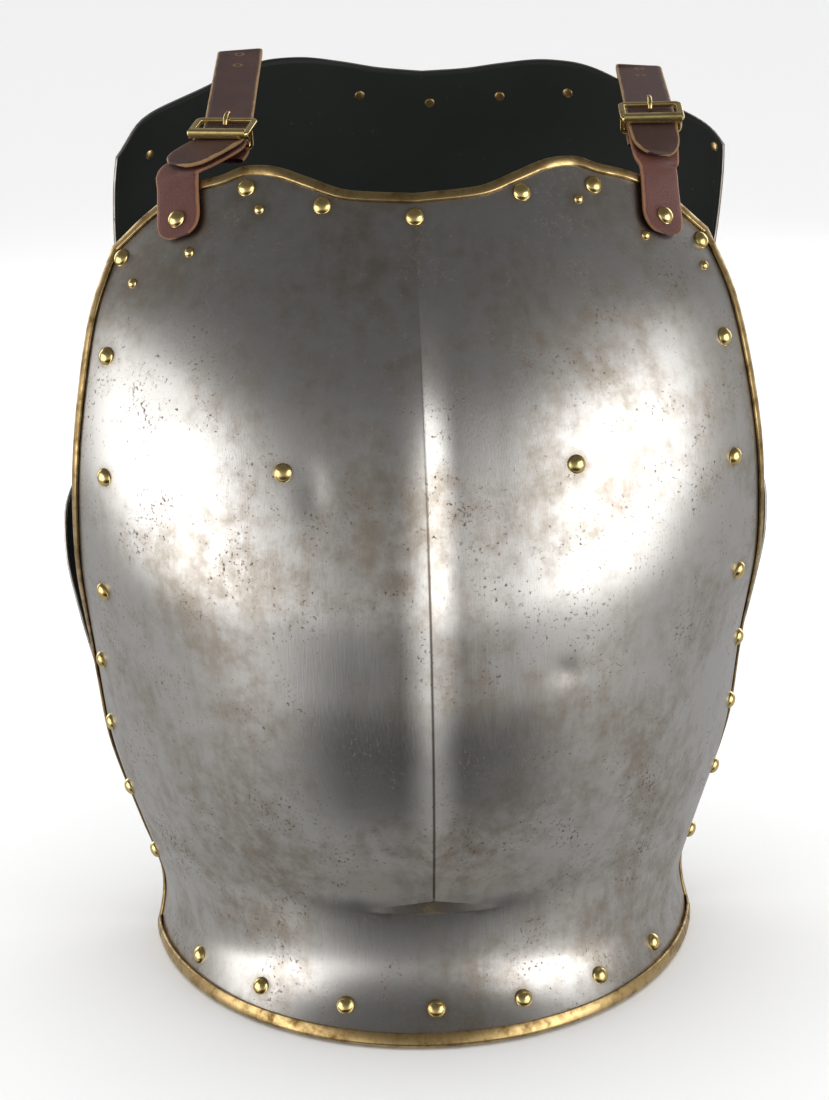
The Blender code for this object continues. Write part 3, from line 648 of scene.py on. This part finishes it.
def leather(name, dye, dark, edge, first_hole=0.0, last_hole=0.0):
    """Harness leather with creased, worn edges. Holes are 20 mm apart between two distances."""
    material, shader = new_material(name)
    place = add(material, "ShaderNodeTexCoord").outputs["Object"]
    across = add(material, "ShaderNodeAttribute", attribute_name="across").outputs["Fac"]
    along = add(material, "ShaderNodeAttribute", attribute_name="along").outputs["Fac"]
    side = add(material, "ShaderNodeMath", {0: across}, operation="ABSOLUTE").outputs[0]
    wander = add(material, "ShaderNodeTexNoise",
                 {"Vector": place, "Scale": 160.0, "Detail": 4.0}).outputs["Fac"]
    worn = add(material, "ShaderNodeMath", {0: wander, 1: 0.14, 2: side}, operation="MULTIPLY_ADD").outputs[0]
    worn = add(material, "ShaderNodeMapRange", {"Value": worn, "From Min": 0.96, "From Max": 1.03}).outputs[0]
    # The creaser's line, 1.6 mm in from the edge
    line = add(material, "ShaderNodeMath", {0: side, 1: 0.87}, operation="SUBTRACT").outputs[0]
    line = add(material, "ShaderNodeMath", {0: line}, operation="ABSOLUTE").outputs[0]
    line = add(material, "ShaderNodeMapRange",
               {"Value": line, "From Max": 0.03, "To Min": 1.0, "To Max": 0.0}).outputs[0]
    cells = add(material, "ShaderNodeTexVoronoi", {"Vector": place, "Scale": 900.0},
                feature="DISTANCE_TO_EDGE").outputs["Distance"]
    creases = add(material, "ShaderNodeMapRange", {"Value": cells, "From Max": 0.25}).outputs[0]
    rubbed = add(material, "ShaderNodeTexNoise", {"Vector": place, "Scale": 60.0, "Detail": 6.0}).outputs["Fac"]
    # Distance to the nearest hole's middle, along and across in metres
    from_hole = add(material, "ShaderNodeMath", {0: along, 1: first_hole}, operation="SUBTRACT").outputs[0]
    from_hole = add(material, "ShaderNodeMath", {0: from_hole, 1: HOLE_PITCH / 2},
                    operation="PINGPONG").outputs[0]
    sideways = add(material, "ShaderNodeMath", {0: across, 1: STRAP_WIDTH / 2}, operation="MULTIPLY").outputs[0]
    spot = add(material, "ShaderNodeCombineXYZ", {0: from_hole, 1: sideways}).outputs[0]
    away = add(material, "ShaderNodeVectorMath", {0: spot}, operation="LENGTH").outputs["Value"]
    past_first = add(material, "ShaderNodeMath", {0: along, 1: first_hole - 0.005},
                     operation="GREATER_THAN").outputs[0]
    before_last = add(material, "ShaderNodeMath", {0: along, 1: last_hole}, operation="LESS_THAN").outputs[0]
    punched = add(material, "ShaderNodeMath", {0: past_first, 1: before_last}, operation="MULTIPLY").outputs[0]
    rings = []
    for inner, outer, strength in ((0.0013, 0.0018, 1.0), (0.0017, 0.0031, 0.7)):
        ring = add(material, "ShaderNodeMapRange", {"Value": away, "From Min": inner, "From Max": outer,
                                                    "To Min": strength, "To Max": 0.0}).outputs[0]
        rings.append(add(material, "ShaderNodeMath", {0: ring, 1: punched}, operation="MULTIPLY").outputs[0])
    hole, rim = rings
    tan = add(material, "ShaderNodeMath", {0: worn, 1: rim}, operation="MAXIMUM").outputs[0]

    colour = linear(dark)
    # The punched holes are painted shade: near-black discs, with no opening in the mesh
    for share, layer in ((rubbed, dye), (tan, edge), (hole, "#0d0907")):
        colour = add(material, "ShaderNodeMix", {"Factor": share, 6: colour, 7: linear(layer)},
                     data_type="RGBA").outputs[2]
    relief = creases
    for height, weight in ((wander, 1.2), (line, -2.0), (hole, -3.0)):
        relief = add(material, "ShaderNodeMath", {0: height, 1: weight, 2: relief},
                     operation="MULTIPLY_ADD").outputs[0]
    relief = add(material, "ShaderNodeBump",
                 {"Height": relief, "Strength": 0.35, "Distance": 0.0004}).outputs[0]
    rough = add(material, "ShaderNodeMapRange", {"Value": rubbed, "To Min": 0.42, "To Max": 0.62}).outputs[0]
    join(material, shader, {"Base Color": colour, "Roughness": rough, "Normal": relief})
    return material


brown_leather = leather("dark_brown_harness_leather", "#4c322c", "#2b1c19", "#8f6f47", 0.066, 0.100)
red_leather = leather("red_brown_harness_leather", "#6b4038", "#46261f", "#8a5f40")

# %% [markdown]
# ## The two plates
#
# A plate's columns are shares of each section's turn, closer together near the middle so that
# the ridge stays crisp. Its rows are level up to half its height, and above that they rise
# to follow the top edge. Two of the breastplate's rows are bent to run along the foot and the
# top of the small facet that ends the ridge, because an edge that crosses faces at a slant
# would look like a saw. Solidify then gives the sheet its wall, with black paint on the
# inner side.

# %% Rows of points over a plate
LEVEL_ROWS = 0.50
FOOT_ROW = 0.134
START_ROW = 0.174


def row_place(plate, share, x, top):
    """Height of a row at a place across the body, for a column that ends at a top height."""
    z = plate["foot"] + (plate["height"] - plate["foot"]) * share
    level = plate["height"] * LEVEL_ROWS
    if z > level:
        return level + (z - level) * (top - level) / (plate["height"] - level)
    if plate is BREAST:
        if share <= FOOT_ROW:
            return plate["foot"] + (RIDGE_FOOT - plate["foot"]) * share / FOOT_ROW
        start = ridge_start(x)
        if share <= START_ROW:
            return RIDGE_FOOT + (start - RIDGE_FOOT) * (share - FOOT_ROW) / (START_ROW - FOOT_ROW)
        level_share = (level - plate["foot"]) / (plate["height"] - plate["foot"])
        return start + (level - start) * (share - START_ROW) / (level_share - START_ROW)
    return z


def plate_rows(plate, columns, rows):
    """Points over a plate's middle surface, from the foot up and from -X to +X."""
    turns = []
    for k in range(-columns, columns + 1):
        share = k / columns
        turns.append(share * (0.62 + 0.38 * share * share))
    tops = []
    for turn in turns:
        top = plate["height"]
        for _ in range(25):
            top = top_height(plate, turned_x(plate, turn, top))
        tops.append(top)
    points = []
    for j in range(rows + 1):
        line = []
        for turn, top in zip(turns, tops):
            z = row_place(plate, j / rows, 0.0, top)
            if plate is BREAST:
                z = row_place(plate, j / rows, turned_x(plate, turn, z), top)
            line.append(surface(plate, turned_x(plate, turn, z), z))
        points.append(line)
    return points


FOLD_ANGLE = math.radians(9.0)
RIVET_DIRT_AND_SHADE = 0.0062
EDGE_DIRT_AND_SHADE = 0.007


def plate_piece(name, plate, rows, wall, rivets):
    """A plate with its wall: steel outside, black paint inside, and dirt with painted shade near rivets and
    edges.
    """
    piece = skin(name, rows, material=steel)
    mesh = piece.data
    mesh.materials.append(black_paint)
    middle_face = mesh.polygons[len(mesh.polygons) // 2]
    if middle_face.normal.y * plate["toward"] < 0:
        mesh.flip_normals()
    mesh.set_sharp_from_angle(angle=FOLD_ANGLE)
    places = np.array([v.co for v in mesh.vertices])
    dirt_and_painted_shade = np.zeros(len(places))
    # Painted shade and dirt: the steel is darkened round each rivet head and along the edges under the binding
    for spot in rivets:
        away = np.linalg.norm(places - np.array(spot), axis=1)
        dirt_and_painted_shade += 0.9 * np.exp(-(away / RIVET_DIRT_AND_SHADE) ** 4)
    edge_points = rows[0][::4] + rows[-1][::4]
    edge_points += [row[end] for row in rows[::4] for end in (0, -1)]
    away = np.full(len(places), 1.0)
    for spot in edge_points:
        away = np.minimum(away, np.linalg.norm(places - np.array(spot), axis=1))
    dirt_and_painted_shade += 0.55 * np.exp(-(away / EDGE_DIRT_AND_SHADE) ** 2)
    layer = mesh.attributes.new("dirt_and_painted_shade", "FLOAT", "POINT")
    layer.data.foreach_set("value", np.clip(dirt_and_painted_shade, 0, 1).astype(np.float32))
    solid = piece.modifiers.new("wall", "SOLIDIFY")
    solid.thickness = wall
    solid.offset = 0.0
    solid.use_even_offset = True
    solid.material_offset = 1
    solid.material_offset_rim = 0
    return piece

# %% [markdown]
# Each rivet stays exactly where the CAD has it. The flat seat of a CAD head is its largest
# group of faces that lie in one plane, so the seat's middle and direction can be read from
# the node's own mesh.

# %% Read the seats of the CAD rivets
def rivet_seat(node):
    """Middle of a CAD rivet's flat seat, and the direction in which its head stands."""
    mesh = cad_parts[node].data
    groups = {}
    for face in mesh.polygons:
        key = tuple(round(value, 2) for value in face.normal)
        groups.setdefault(key, []).append(face)
    seat = max(groups.values(), key=lambda faces: sum(face.area for face in faces))
    out = -seat[0].normal.normalized()
    corners = [mesh.vertices[index].co for face in seat for index in face.vertices]
    low = Vector([min(corner[axis] for corner in corners) for axis in range(3)])
    high = Vector([max(corner[axis] for corner in corners) for axis in range(3)])
    return (low + high) / 2, out


heads = {}
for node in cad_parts:
    if "rivet" in node or node.startswith("pin_"):
        heads[node] = rivet_seat(node)
print(len(heads), "rivets and pins")
breast_spots = [seat for node, (seat, _) in heads.items() if "back" not in node]
back_spots = [seat for node, (seat, _) in heads.items() if node.startswith("back_rivet")]

# %% Breastplate and backplate
breast_rows = plate_rows(BREAST, 96, 196)
back_rows = plate_rows(BACK, 80, 150)
breastplate = plate_piece("breastplate_steel", BREAST, breast_rows, BREAST_WALL, breast_spots)
stand_for(breastplate, "breastplate")
backplate = plate_piece("backplate_steel", BACK, back_rows, BACK_WALL, back_spots)
stand_for(backplate, "backplate")
print("faces:", len(breastplate.data.polygons), len(backplate.data.polygons))

# %% [markdown]
# ## Brass binding
#
# The binding is a strip of brass sheet folded over the plate's edge, so its section is a long
# U. The section is carried round the plate's whole outline. At each point the strip's
# inward direction is the mitre of its two neighbours' directions, which also makes clean
# corners. The outline is then cut into the four strips that the real one has.

# %% U section and mitred rings
BINDING_WALL = 0.0010
BINDING_GAP = 0.0006
BINDING_LEG = 0.0042
FLANGE_BINDING_LEG = 0.0058


def binding_section(leg):
    """Closed section of the strip: depth in from the plate's edge, and side out of its face."""
    half_in = BREAST_WALL / 2 + BINDING_GAP
    half_out = half_in + BINDING_WALL
    edge_out = FIT_GAP + BINDING_WALL
    bulge = 0.15 * BINDING_WALL
    outer = [(leg, half_out - 0.5 * BINDING_WALL), (leg - 0.0002, half_out - 0.15 * BINDING_WALL),
             (leg - 0.0006, half_out)]
    outer += [(leg * 0.5, half_out + bulge), (0.0004, half_out + bulge * 0.5)]
    for k in range(1, 8):
        turn = math.pi * k / 8
        outer.append((-edge_out * math.sin(turn) + 0.0002, half_out * math.cos(turn)))
    outer += [(0.0004, -half_out), (leg * 0.5, -half_out), (leg - 0.0002, -half_out + 0.2 * BINDING_WALL)]
    inner = [(leg, -half_in), (-FIT_GAP, -half_in), (-FIT_GAP, half_in), (leg, half_in)]
    return outer + inner


def outline_path(rows):
    """The plate's outline, anticlockwise as seen from outside: flange, +X side, neck, -X side."""
    flange = rows[0]
    left = [row[-1] for row in rows]
    neck = rows[-1][::-1]
    right_side = [row[0] for row in rows][::-1]
    path = flange[:-1] + left[:-1] + neck[:-1] + right_side[:-1]
    corners = [0, len(flange) - 1, len(flange) + len(left) - 2, len(flange) + len(left) + len(neck) - 3]
    return path, corners


path, corners = outline_path(breast_rows)
count = len(path)
rings = []
for i, point in enumerate(path):
    out = normal(BREAST, point.x, point.z)
    before = (point - path[i - 1]).normalized()
    after = (path[(i + 1) % count] - point).normalized()
    inward_before = out.cross(before).normalized()
    inward_after = out.cross(after).normalized()
    mitre = (inward_before + inward_after) / (1 + max(-0.3, inward_before.dot(inward_after)))
    leg = FLANGE_BINDING_LEG if i <= corners[1] else BINDING_LEG
    ring = []
    for depth, side in binding_section(leg):
        place = point + mitre * depth + out * side
        place.z = max(place.z, 0.0)
        ring.append(place)
    rings.append(ring)

spans = {
    "flange_binding": (corners[0], corners[1]), "side_binding_l": (corners[1], corners[2]),
    "neck_binding": (corners[2], corners[3]), "side_binding_r": (corners[3], count),
}
for node, (first, last) in spans.items():
    piece = skin(f"{node}_strip", [rings[i % count] for i in range(first, last + 1)], tube=True,
                 material=edge_brass)
    stand_for(piece, node)
    print(node, len(piece.data.polygons), "faces")

# %% [markdown]
# ## Rivets and pins
#
# The heads are cast brass domes. A sphere is cut in half with the bisect operator, its open
# rim is filled so that the solid is closed, and it is flattened to its rise. Each head is
# then turned to its CAD seat's direction and set down on the new plate, a fifth of a
# millimetre deep, so that no light shows under it.

# %% Dome heads
RIVET_RADIUS = 0.0046
RIVET_RISE = 0.0034
PIN_RADIUS = 0.0026
PIN_RISE = 0.0021
BURR_RISE = 0.0007
SUNK = 0.0002
UP = Vector((0.0, 0.0, 1.0))


def add_dome(shape, radius, rise, place, out, sides=24):
    """Add a closed dome to a bmesh, with its flat seat at a place."""
    ball = bmesh.new()
    bmesh.ops.create_uvsphere(ball, u_segments=sides, v_segments=12, radius=radius)
    bmesh.ops.bisect_plane(ball, geom=ball.verts[:] + ball.edges[:] + ball.faces[:],
                           plane_co=(0, 0, 0), plane_no=(0, 0, 1), clear_inner=True)
    bmesh.ops.holes_fill(ball, edges=ball.edges, sides=sides)
    bmesh.ops.scale(ball, vec=(1.0, 1.0, rise / radius), verts=ball.verts)
    bmesh.ops.recalc_face_normals(ball, faces=ball.faces)
    turn = UP.rotation_difference(out).to_matrix().to_4x4()
    ball.transform(Matrix.Translation(place) @ turn)
    part = bpy.data.meshes.new("dome")
    ball.to_mesh(part)
    ball.free()
    shape.from_mesh(part)
    bpy.data.meshes.remove(part)


def seat_on_plate(node, seat, out):
    """The point under a head on the new plate's outer face."""
    plate, wall = (BACK, BACK_WALL) if node.startswith("back_rivet") else (BREAST, BREAST_WALL)
    inside = seat - out * wall / 2
    return surface(plate, inside.x, inside.z) + out * (wall / 2 - SUNK)


for node, (seat, out) in heads.items():
    radius, rise = (PIN_RADIUS, PIN_RISE) if node.startswith("pin_") else (RIVET_RADIUS, RIVET_RISE)
    place = seat if node.startswith("strap_rivet") else seat_on_plate(node, seat, out)
    shape = bmesh.new()
    add_dome(shape, radius, rise, place, out)
    head = finish_mesh(f"{node}_head", shape, rivet_brass)
    stand_for(head, node)

# %% [markdown]
# Inside the plates the shanks end in small flat burrs. Each plate's burrs are one object,
# since nobody would take one off by itself.

# %% Riveted ends inside the plates
for plate, wall, name in ((BREAST, BREAST_WALL, "breastplate"), (BACK, BACK_WALL, "backplate")):
    shape = bmesh.new()
    for node, (seat, out) in heads.items():
        if node.startswith("strap_rivet") or node.startswith("back_rivet") != (plate is BACK):
            continue
        radius = 0.0018 if node.startswith("pin_") else 0.0028
        end = seat_on_plate(node, seat, out) - out * wall
        add_dome(shape, radius, BURR_RISE, end + out * SUNK, -out, sides=14)
    ends = finish_mesh(f"{name}_rivet_ends", shape, edge_brass)
    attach(ends, "root")

# %% [markdown]
# ## Straps
#
# A strap is one strip of leather. Its route is a list of stations, each a place and the
# direction that its face looks in: up the backplate, round its edge, and forward to the
# buckle. A smooth curve through the stations gives a section every 1.5 mm. The section is a
# thin slab with softened edges, and it narrows to nothing at the tip along a rounded
# outline. Two attributes run over the mesh for the leather's pattern: the share across the
# strap, and the distance along it, from which the holes are drawn.

# %% Sections along a smooth route
BILLET_THICKNESS = 0.0024
FRONT_STRAP_THICKNESS = 0.0022
TIP_LENGTH = 0.0125


def smooth_path(stations, step):
    """Even samples of place and direction along a smooth line through stations."""
    samples = []
    last = len(stations) - 1
    for i in range(last):
        near = [stations[max(i - 1, 0)], stations[i], stations[i + 1], stations[min(i + 2, last)]]
        length = (near[2][0] - near[1][0]).length
        steps = max(1, math.ceil(length / step))
        for k in range(steps + (i == last - 1)):
            t = k / steps
            weights = ((-t + 2 * t * t - t ** 3) / 2, (2 - 5 * t * t + 3 * t ** 3) / 2,
                       (t + 4 * t * t - 3 * t ** 3) / 2, (t ** 3 - t * t) / 2)
            place = sum((w * item[0] for w, item in zip(weights, near)), Vector())
            out = sum((w * item[1] for w, item in zip(weights, near)), Vector())
            samples.append((place, out.normalized()))
    return samples


def tip_share(away, length):
    """Share of the full width at a distance from a rounded tip."""
    if away >= length:
        return 1.0
    return (1 - (1 - away / length) ** 2.6) ** (1 / 2.6)


HALF_SLAB = [0.2, 0.4, 0.6, 0.80, 0.88, 0.95, 0.985, 1.0]
SLAB = [-x for x in reversed(HALF_SLAB)] + [0.0] + HALF_SLAB


def strap(name, stations, thickness, material, rounded_ends):
    """A leather strip along stations, with its length. Its first and last end may be rounded."""
    samples = smooth_path(stations, 0.0015)
    along = [0.0]
    for (before, _), (after, _) in zip(samples, samples[1:]):
        along.append(along[-1] + (after - before).length)
    length = along[-1]
    rows = []
    for i, (place, out) in enumerate(samples):
        before = samples[max(i - 1, 0)][0]
        after = samples[min(i + 1, len(samples) - 1)][0]
        across = (after - before).cross(out).normalized()
        face = across.cross(after - before).normalized()
        share = 1.0
        if rounded_ends[0]:
            share = min(share, tip_share(along[i], TIP_LENGTH))
        if rounded_ends[1]:
            share = min(share, tip_share(length - along[i], TIP_LENGTH))
        half = STRAP_WIDTH / 2 * share
        thick = thickness / 2 * min(1.0, (share + 0.02) * 4) if share < 0.25 else thickness / 2
        if i in (0, len(samples) - 1):
            thick = thick if share == 1.0 else 0.0
        rows.append([place + across * half * x + face * thick * upper * (1 - 0.55 * abs(x) ** 14)
                     for upper in (1, -1) for x in SLAB[::upper]])
    piece = skin(name, rows, tube=True, material=material)
    mesh = piece.data
    uv = mesh.uv_layers["lay"].data
    across_values = np.zeros(len(mesh.vertices), np.float32)
    along_values = np.zeros(len(mesh.vertices), np.float32)
    slab = SLAB + SLAB[::-1] + [SLAB[0]]
    for loop in mesh.loops:
        u, v = uv[loop.index].uv
        across_values[loop.vertex_index] = slab[min(round(u * len(rows[0])), len(rows[0]))]
        along_values[loop.vertex_index] = along[min(round(v * (len(rows) - 1)), len(rows) - 1)]
    for label, values in (("across", across_values), ("along", along_values)):
        mesh.attributes.new(label, "FLOAT", "POINT").data.foreach_set("value", values)
    return piece, length

# %% [markdown]
# ## Buckles
#
# A buckle's bars are cast brass, and each is one section carried along a line: a flat bar
# round the frame, a round wire for the hinge and the tongue, and a wide sleeve on the bar
# that the billet's tip passes under.

# %% Bars along a line
BUCKLE_BAR_RADIUS = 0.0016
BUCKLE_LENGTH = 0.0200
BUCKLE_CORNER = 0.0022
SLEEVE_HALF_LENGTH = 0.0142
SLEEVE_HALF_SIDE = 0.0023
SLEEVE_LIFT = 0.0006
TONGUE_RADIUS = 0.0011


def bar(name, points, out, section_points, ring=False):
    """A brass bar whose section, side and rise pairs in metres, follows points."""
    rows = []
    count = len(points)
    for i, place in enumerate(points):
        before = points[i - 1] if ring or i else place
        after = points[(i + 1) % count] if ring or i < count - 1 else place
        side = (after - before).cross(out).normalized()
        rise = side.cross(after - before).normalized()
        rows.append([place + side * x + rise * y for x, y in section_points])
    piece = skin(name, rows, tube=True, ring=ring, material=rivet_brass)
    if not ring:
        shape = bmesh.new()
        shape.from_mesh(piece.data)
        bmesh.ops.holes_fill(shape, edges=shape.edges, sides=len(section_points))
        bmesh.ops.recalc_face_normals(shape, faces=shape.faces)
        shape.to_mesh(piece.data)
        shape.free()
    piece.data.set_sharp_from_angle(angle=math.radians(40))
    return piece


def rounded_frame(corner_points, radius, steps=6):
    """Points round a frame of four corners, each turned by an arc."""
    points = []
    for i, corner in enumerate(corner_points):
        into = (corner_points[i - 1] - corner).normalized()
        away = (corner_points[(i + 1) % 4] - corner).normalized()
        centre = corner + (into + away) * radius
        for k in range(steps + 1):
            turn = math.pi / 2 * k / steps
            points.append(centre - away * radius * math.cos(turn) - into * radius * math.sin(turn))
    return points


def superellipse(half_wide, half_tall, power, count=20):
    """Section between an ellipse and a rectangle."""
    pairs = []
    for k in range(count):
        turn = math.tau * k / count
        x, y = math.cos(turn), math.sin(turn)
        pairs.append((half_wide * math.copysign(abs(x) ** (2 / power), x),
                      half_tall * math.copysign(abs(y) ** (2 / power), y)))
    return pairs


def buckle(side, centre, forward, across, above, hinge_bar):
    """Frame, hinge bar, sleeve and tongue round the middle of the billet in the buckle."""
    lift = BILLET_THICKNESS / 2 + FIT_GAP + BUCKLE_BAR_RADIUS
    half_frame = across * (STRAP_WIDTH / 2 + FIT_GAP * 2 + BUCKLE_BAR_RADIUS)
    raised = above * lift
    far_end = centre - forward * BUCKLE_LENGTH / 2
    near_end = centre + forward * BUCKLE_LENGTH / 2
    frame_corners = [far_end + raised + half_frame, far_end + raised - half_frame,
                     near_end + raised - half_frame, near_end + raised + half_frame]
    flat_bar = superellipse(BUCKLE_BAR_RADIUS, BUCKLE_BAR_RADIUS * 0.75, 4.0)
    turned = rounded_frame(frame_corners, BUCKLE_CORNER)
    ring = bar(f"buckle_{side}_frame", turned, above, flat_bar, ring=True)
    stand_for(ring, f"buckle_{side}")

    start, end = centre + raised + half_frame, centre + raised - half_frame
    bends = rounded_frame([start, hinge_bar + half_frame, hinge_bar - half_frame, end], BUCKLE_CORNER)[7:21]
    round_bar = superellipse(BUCKLE_BAR_RADIUS * 0.8, BUCKLE_BAR_RADIUS * 0.8, 2.2, 12)
    hinge = bar(f"buckle_{side}_hinge", [start] + bends + [end], forward, round_bar)
    sleeve_middle = near_end + raised + above * SLEEVE_LIFT
    sleeve_ends = [sleeve_middle + across * reach for reach in (-SLEEVE_HALF_LENGTH, SLEEVE_HALF_LENGTH)]
    square_bar = superellipse(SLEEVE_HALF_SIDE, SLEEVE_HALF_SIDE, 5.0)
    sleeve = bar(f"buckle_{side}_sleeve", sleeve_ends, above, square_bar)
    for extra in (hinge, sleeve):
        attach(extra, "root")

    rest = BILLET_THICKNESS / 2 + FIT_GAP + TONGUE_RADIUS
    over_bar = lift + BUCKLE_BAR_RADIUS + FIT_GAP + TONGUE_RADIUS
    stations = []
    for ahead, up_by in ((0.0046, rest), (0.0028, 0.86 * over_bar),
                         (0.0, 1.02 * over_bar), (-0.003, over_bar)):
        stations.append((far_end + forward * ahead + above * up_by, above))
    tongue = [place for place, _ in smooth_path(stations, 0.0008)]
    wire = superellipse(TONGUE_RADIUS, TONGUE_RADIUS, 2.2, 12)
    prong = bar(f"buckle_tongue_{side}_prong", tongue, above, wire)
    stand_for(prong, f"buckle_tongue_{side}")

# %% [markdown]
# The two shoulders differ a little, as the backplate hangs askew: where the straps leave the
# back, where they meet the breast, how far along the buckle sits, and how far the line bends
# there. The numbers are the CAD model's. Each strap lies on its plate first, turns over the
# plate's rim, and then both run one above the other through the buckle.

# %% Straps of each shoulder
STRAP_ON_BACK = 0.050
STRAP_ON_BREAST = 0.0205
STRAP_RIVET_DROP = 0.0135
STRAP_LAYER_GAP = 0.0016
STRAP_EASE = 0.0040
STRAP_FOLLOWS_RIM = 0.35
STRAP_PLACES = (
    # side, on the back, on the breast, buckle, bend across, bend up
    ("right", -0.480, -0.640, 0.815, 0.0170, 0.0040),
    ("left", 0.744, 0.690, 0.840, -0.0025, 0.0115),
)


def rim_under(plate, x):
    """Highest point of a plate's top edge below a strap that crosses it."""
    return max(top_height(plate, x - STRAP_WIDTH / 2), top_height(plate, x + STRAP_WIDTH / 2))


def stations_on(plate, x, heights, off):
    """Stations of a strap that lies on a plate at a distance from its middle surface."""
    outs = [normal(plate, x, z) for z in heights]
    return [(surface(plate, x, z) + out * off, out) for z, out in zip(heights, outs)]


def shoulder(side, on_back, on_breast, buckle_place, bend_across, bend_up):
    """Both straps of one shoulder, and the buckle between them."""
    x_back, x_breast = on_back * BREAST["half_width"], on_breast * BREAST["half_width"]
    on_plate = BACK_WALL / 2 + FIT_GAP + BILLET_THICKNESS / 2
    edge_z = rim_under(BACK, x_back)
    drops = (STRAP_ON_BACK, STRAP_ON_BACK * 0.6, STRAP_ON_BACK * 0.3, 0.005)
    billet = stations_on(BACK, x_back, [edge_z - drop for drop in drops], on_plate)
    rim_out = normal(BACK, x_back, edge_z)
    level_out = Vector((rim_out.x * STRAP_FOLLOWS_RIM, rim_out.y, rim_out.z)).normalized()
    corner = (level_out + UP).normalized()
    back_corner = surface(BACK, x_back, edge_z) + corner * (on_plate + STRAP_EASE)

    on_binding = BREAST_WALL / 2 + BINDING_GAP + BINDING_WALL + FIT_GAP + FRONT_STRAP_THICKNESS / 2
    low_z, edge_z = top_height(BREAST, x_breast), rim_under(BREAST, x_breast)
    heights = (low_z - STRAP_ON_BREAST, low_z - STRAP_RIVET_DROP, (low_z + edge_z) / 2)
    front = stations_on(BREAST, x_breast, heights, on_binding)
    corner_out = (normal(BREAST, x_breast, edge_z) + UP).normalized()
    front_corner = surface(BREAST, x_breast, edge_z) + corner_out * (on_binding + BINDING_WALL)

    layer = (BILLET_THICKNESS + FRONT_STRAP_THICKNESS) / 2 + STRAP_LAYER_GAP
    line_start = back_corner - Vector((0.0, 2 * on_plate, 0.0))
    over_corner = front_corner + corner_out * layer
    centre = line_start.lerp(over_corner, buckle_place) + Vector((bend_across, 0.0, bend_up))
    arriving = (centre - line_start).normalized()
    leaving = (over_corner - centre).normalized()
    forward = (arriving * 2 + leaving).normalized()
    across = forward.cross(UP).normalized()
    above = across.cross(forward).normalized()
    loop_radius = BUCKLE_BAR_RADIUS + FIT_GAP * 2 + FRONT_STRAP_THICKNESS / 2
    hinge_bar = centre - above * (layer + loop_radius)
    buckle(side, centre, forward, across, above, hinge_bar)

    far_end = centre - forward * BUCKLE_LENGTH / 2
    near_end = centre + forward * BUCKLE_LENGTH / 2
    under = near_end - above * layer
    slope_out = (across.cross(front_corner - under).normalized() + corner_out).normalized()
    halfway = under.lerp(front_corner, 0.5)
    billet += [(back_corner, corner), (line_start, UP)]
    billet += [(line_start.lerp(far_end, share), UP) for share in (0.12, 0.35, 0.80)]
    billet += [(far_end, above), (centre, above), (near_end, above)]
    billet += [(halfway + slope_out * layer, slope_out), (over_corner, corner_out)]
    piece, length = strap(f"billet_{side}", billet, BILLET_THICKNESS, brown_leather, (True, True))
    stand_for(piece, f"back_strap_{side}")
    print(f"billet {side}: {1000 * length:.0f} mm long")

    front += [(front_corner, corner_out), (halfway, slope_out)]
    front += [(under, above), (centre - above * layer, above)]
    for turn in (45, 90, 135, 180):
        angle = math.radians(turn)
        ray = above * math.cos(angle) - forward * math.sin(angle)
        front.append((hinge_bar + ray * loop_radius, ray))
    front.append((hinge_bar - above * loop_radius + forward * 0.010, -above))
    piece, length = strap(f"chape_{side}", front, FRONT_STRAP_THICKNESS, red_leather, (True, False))
    stand_for(piece, f"front_strap_{side}")
    print(f"front strap {side}: {1000 * length:.0f} mm long")


for strap_place in STRAP_PLACES:
    shoulder(*strap_place)
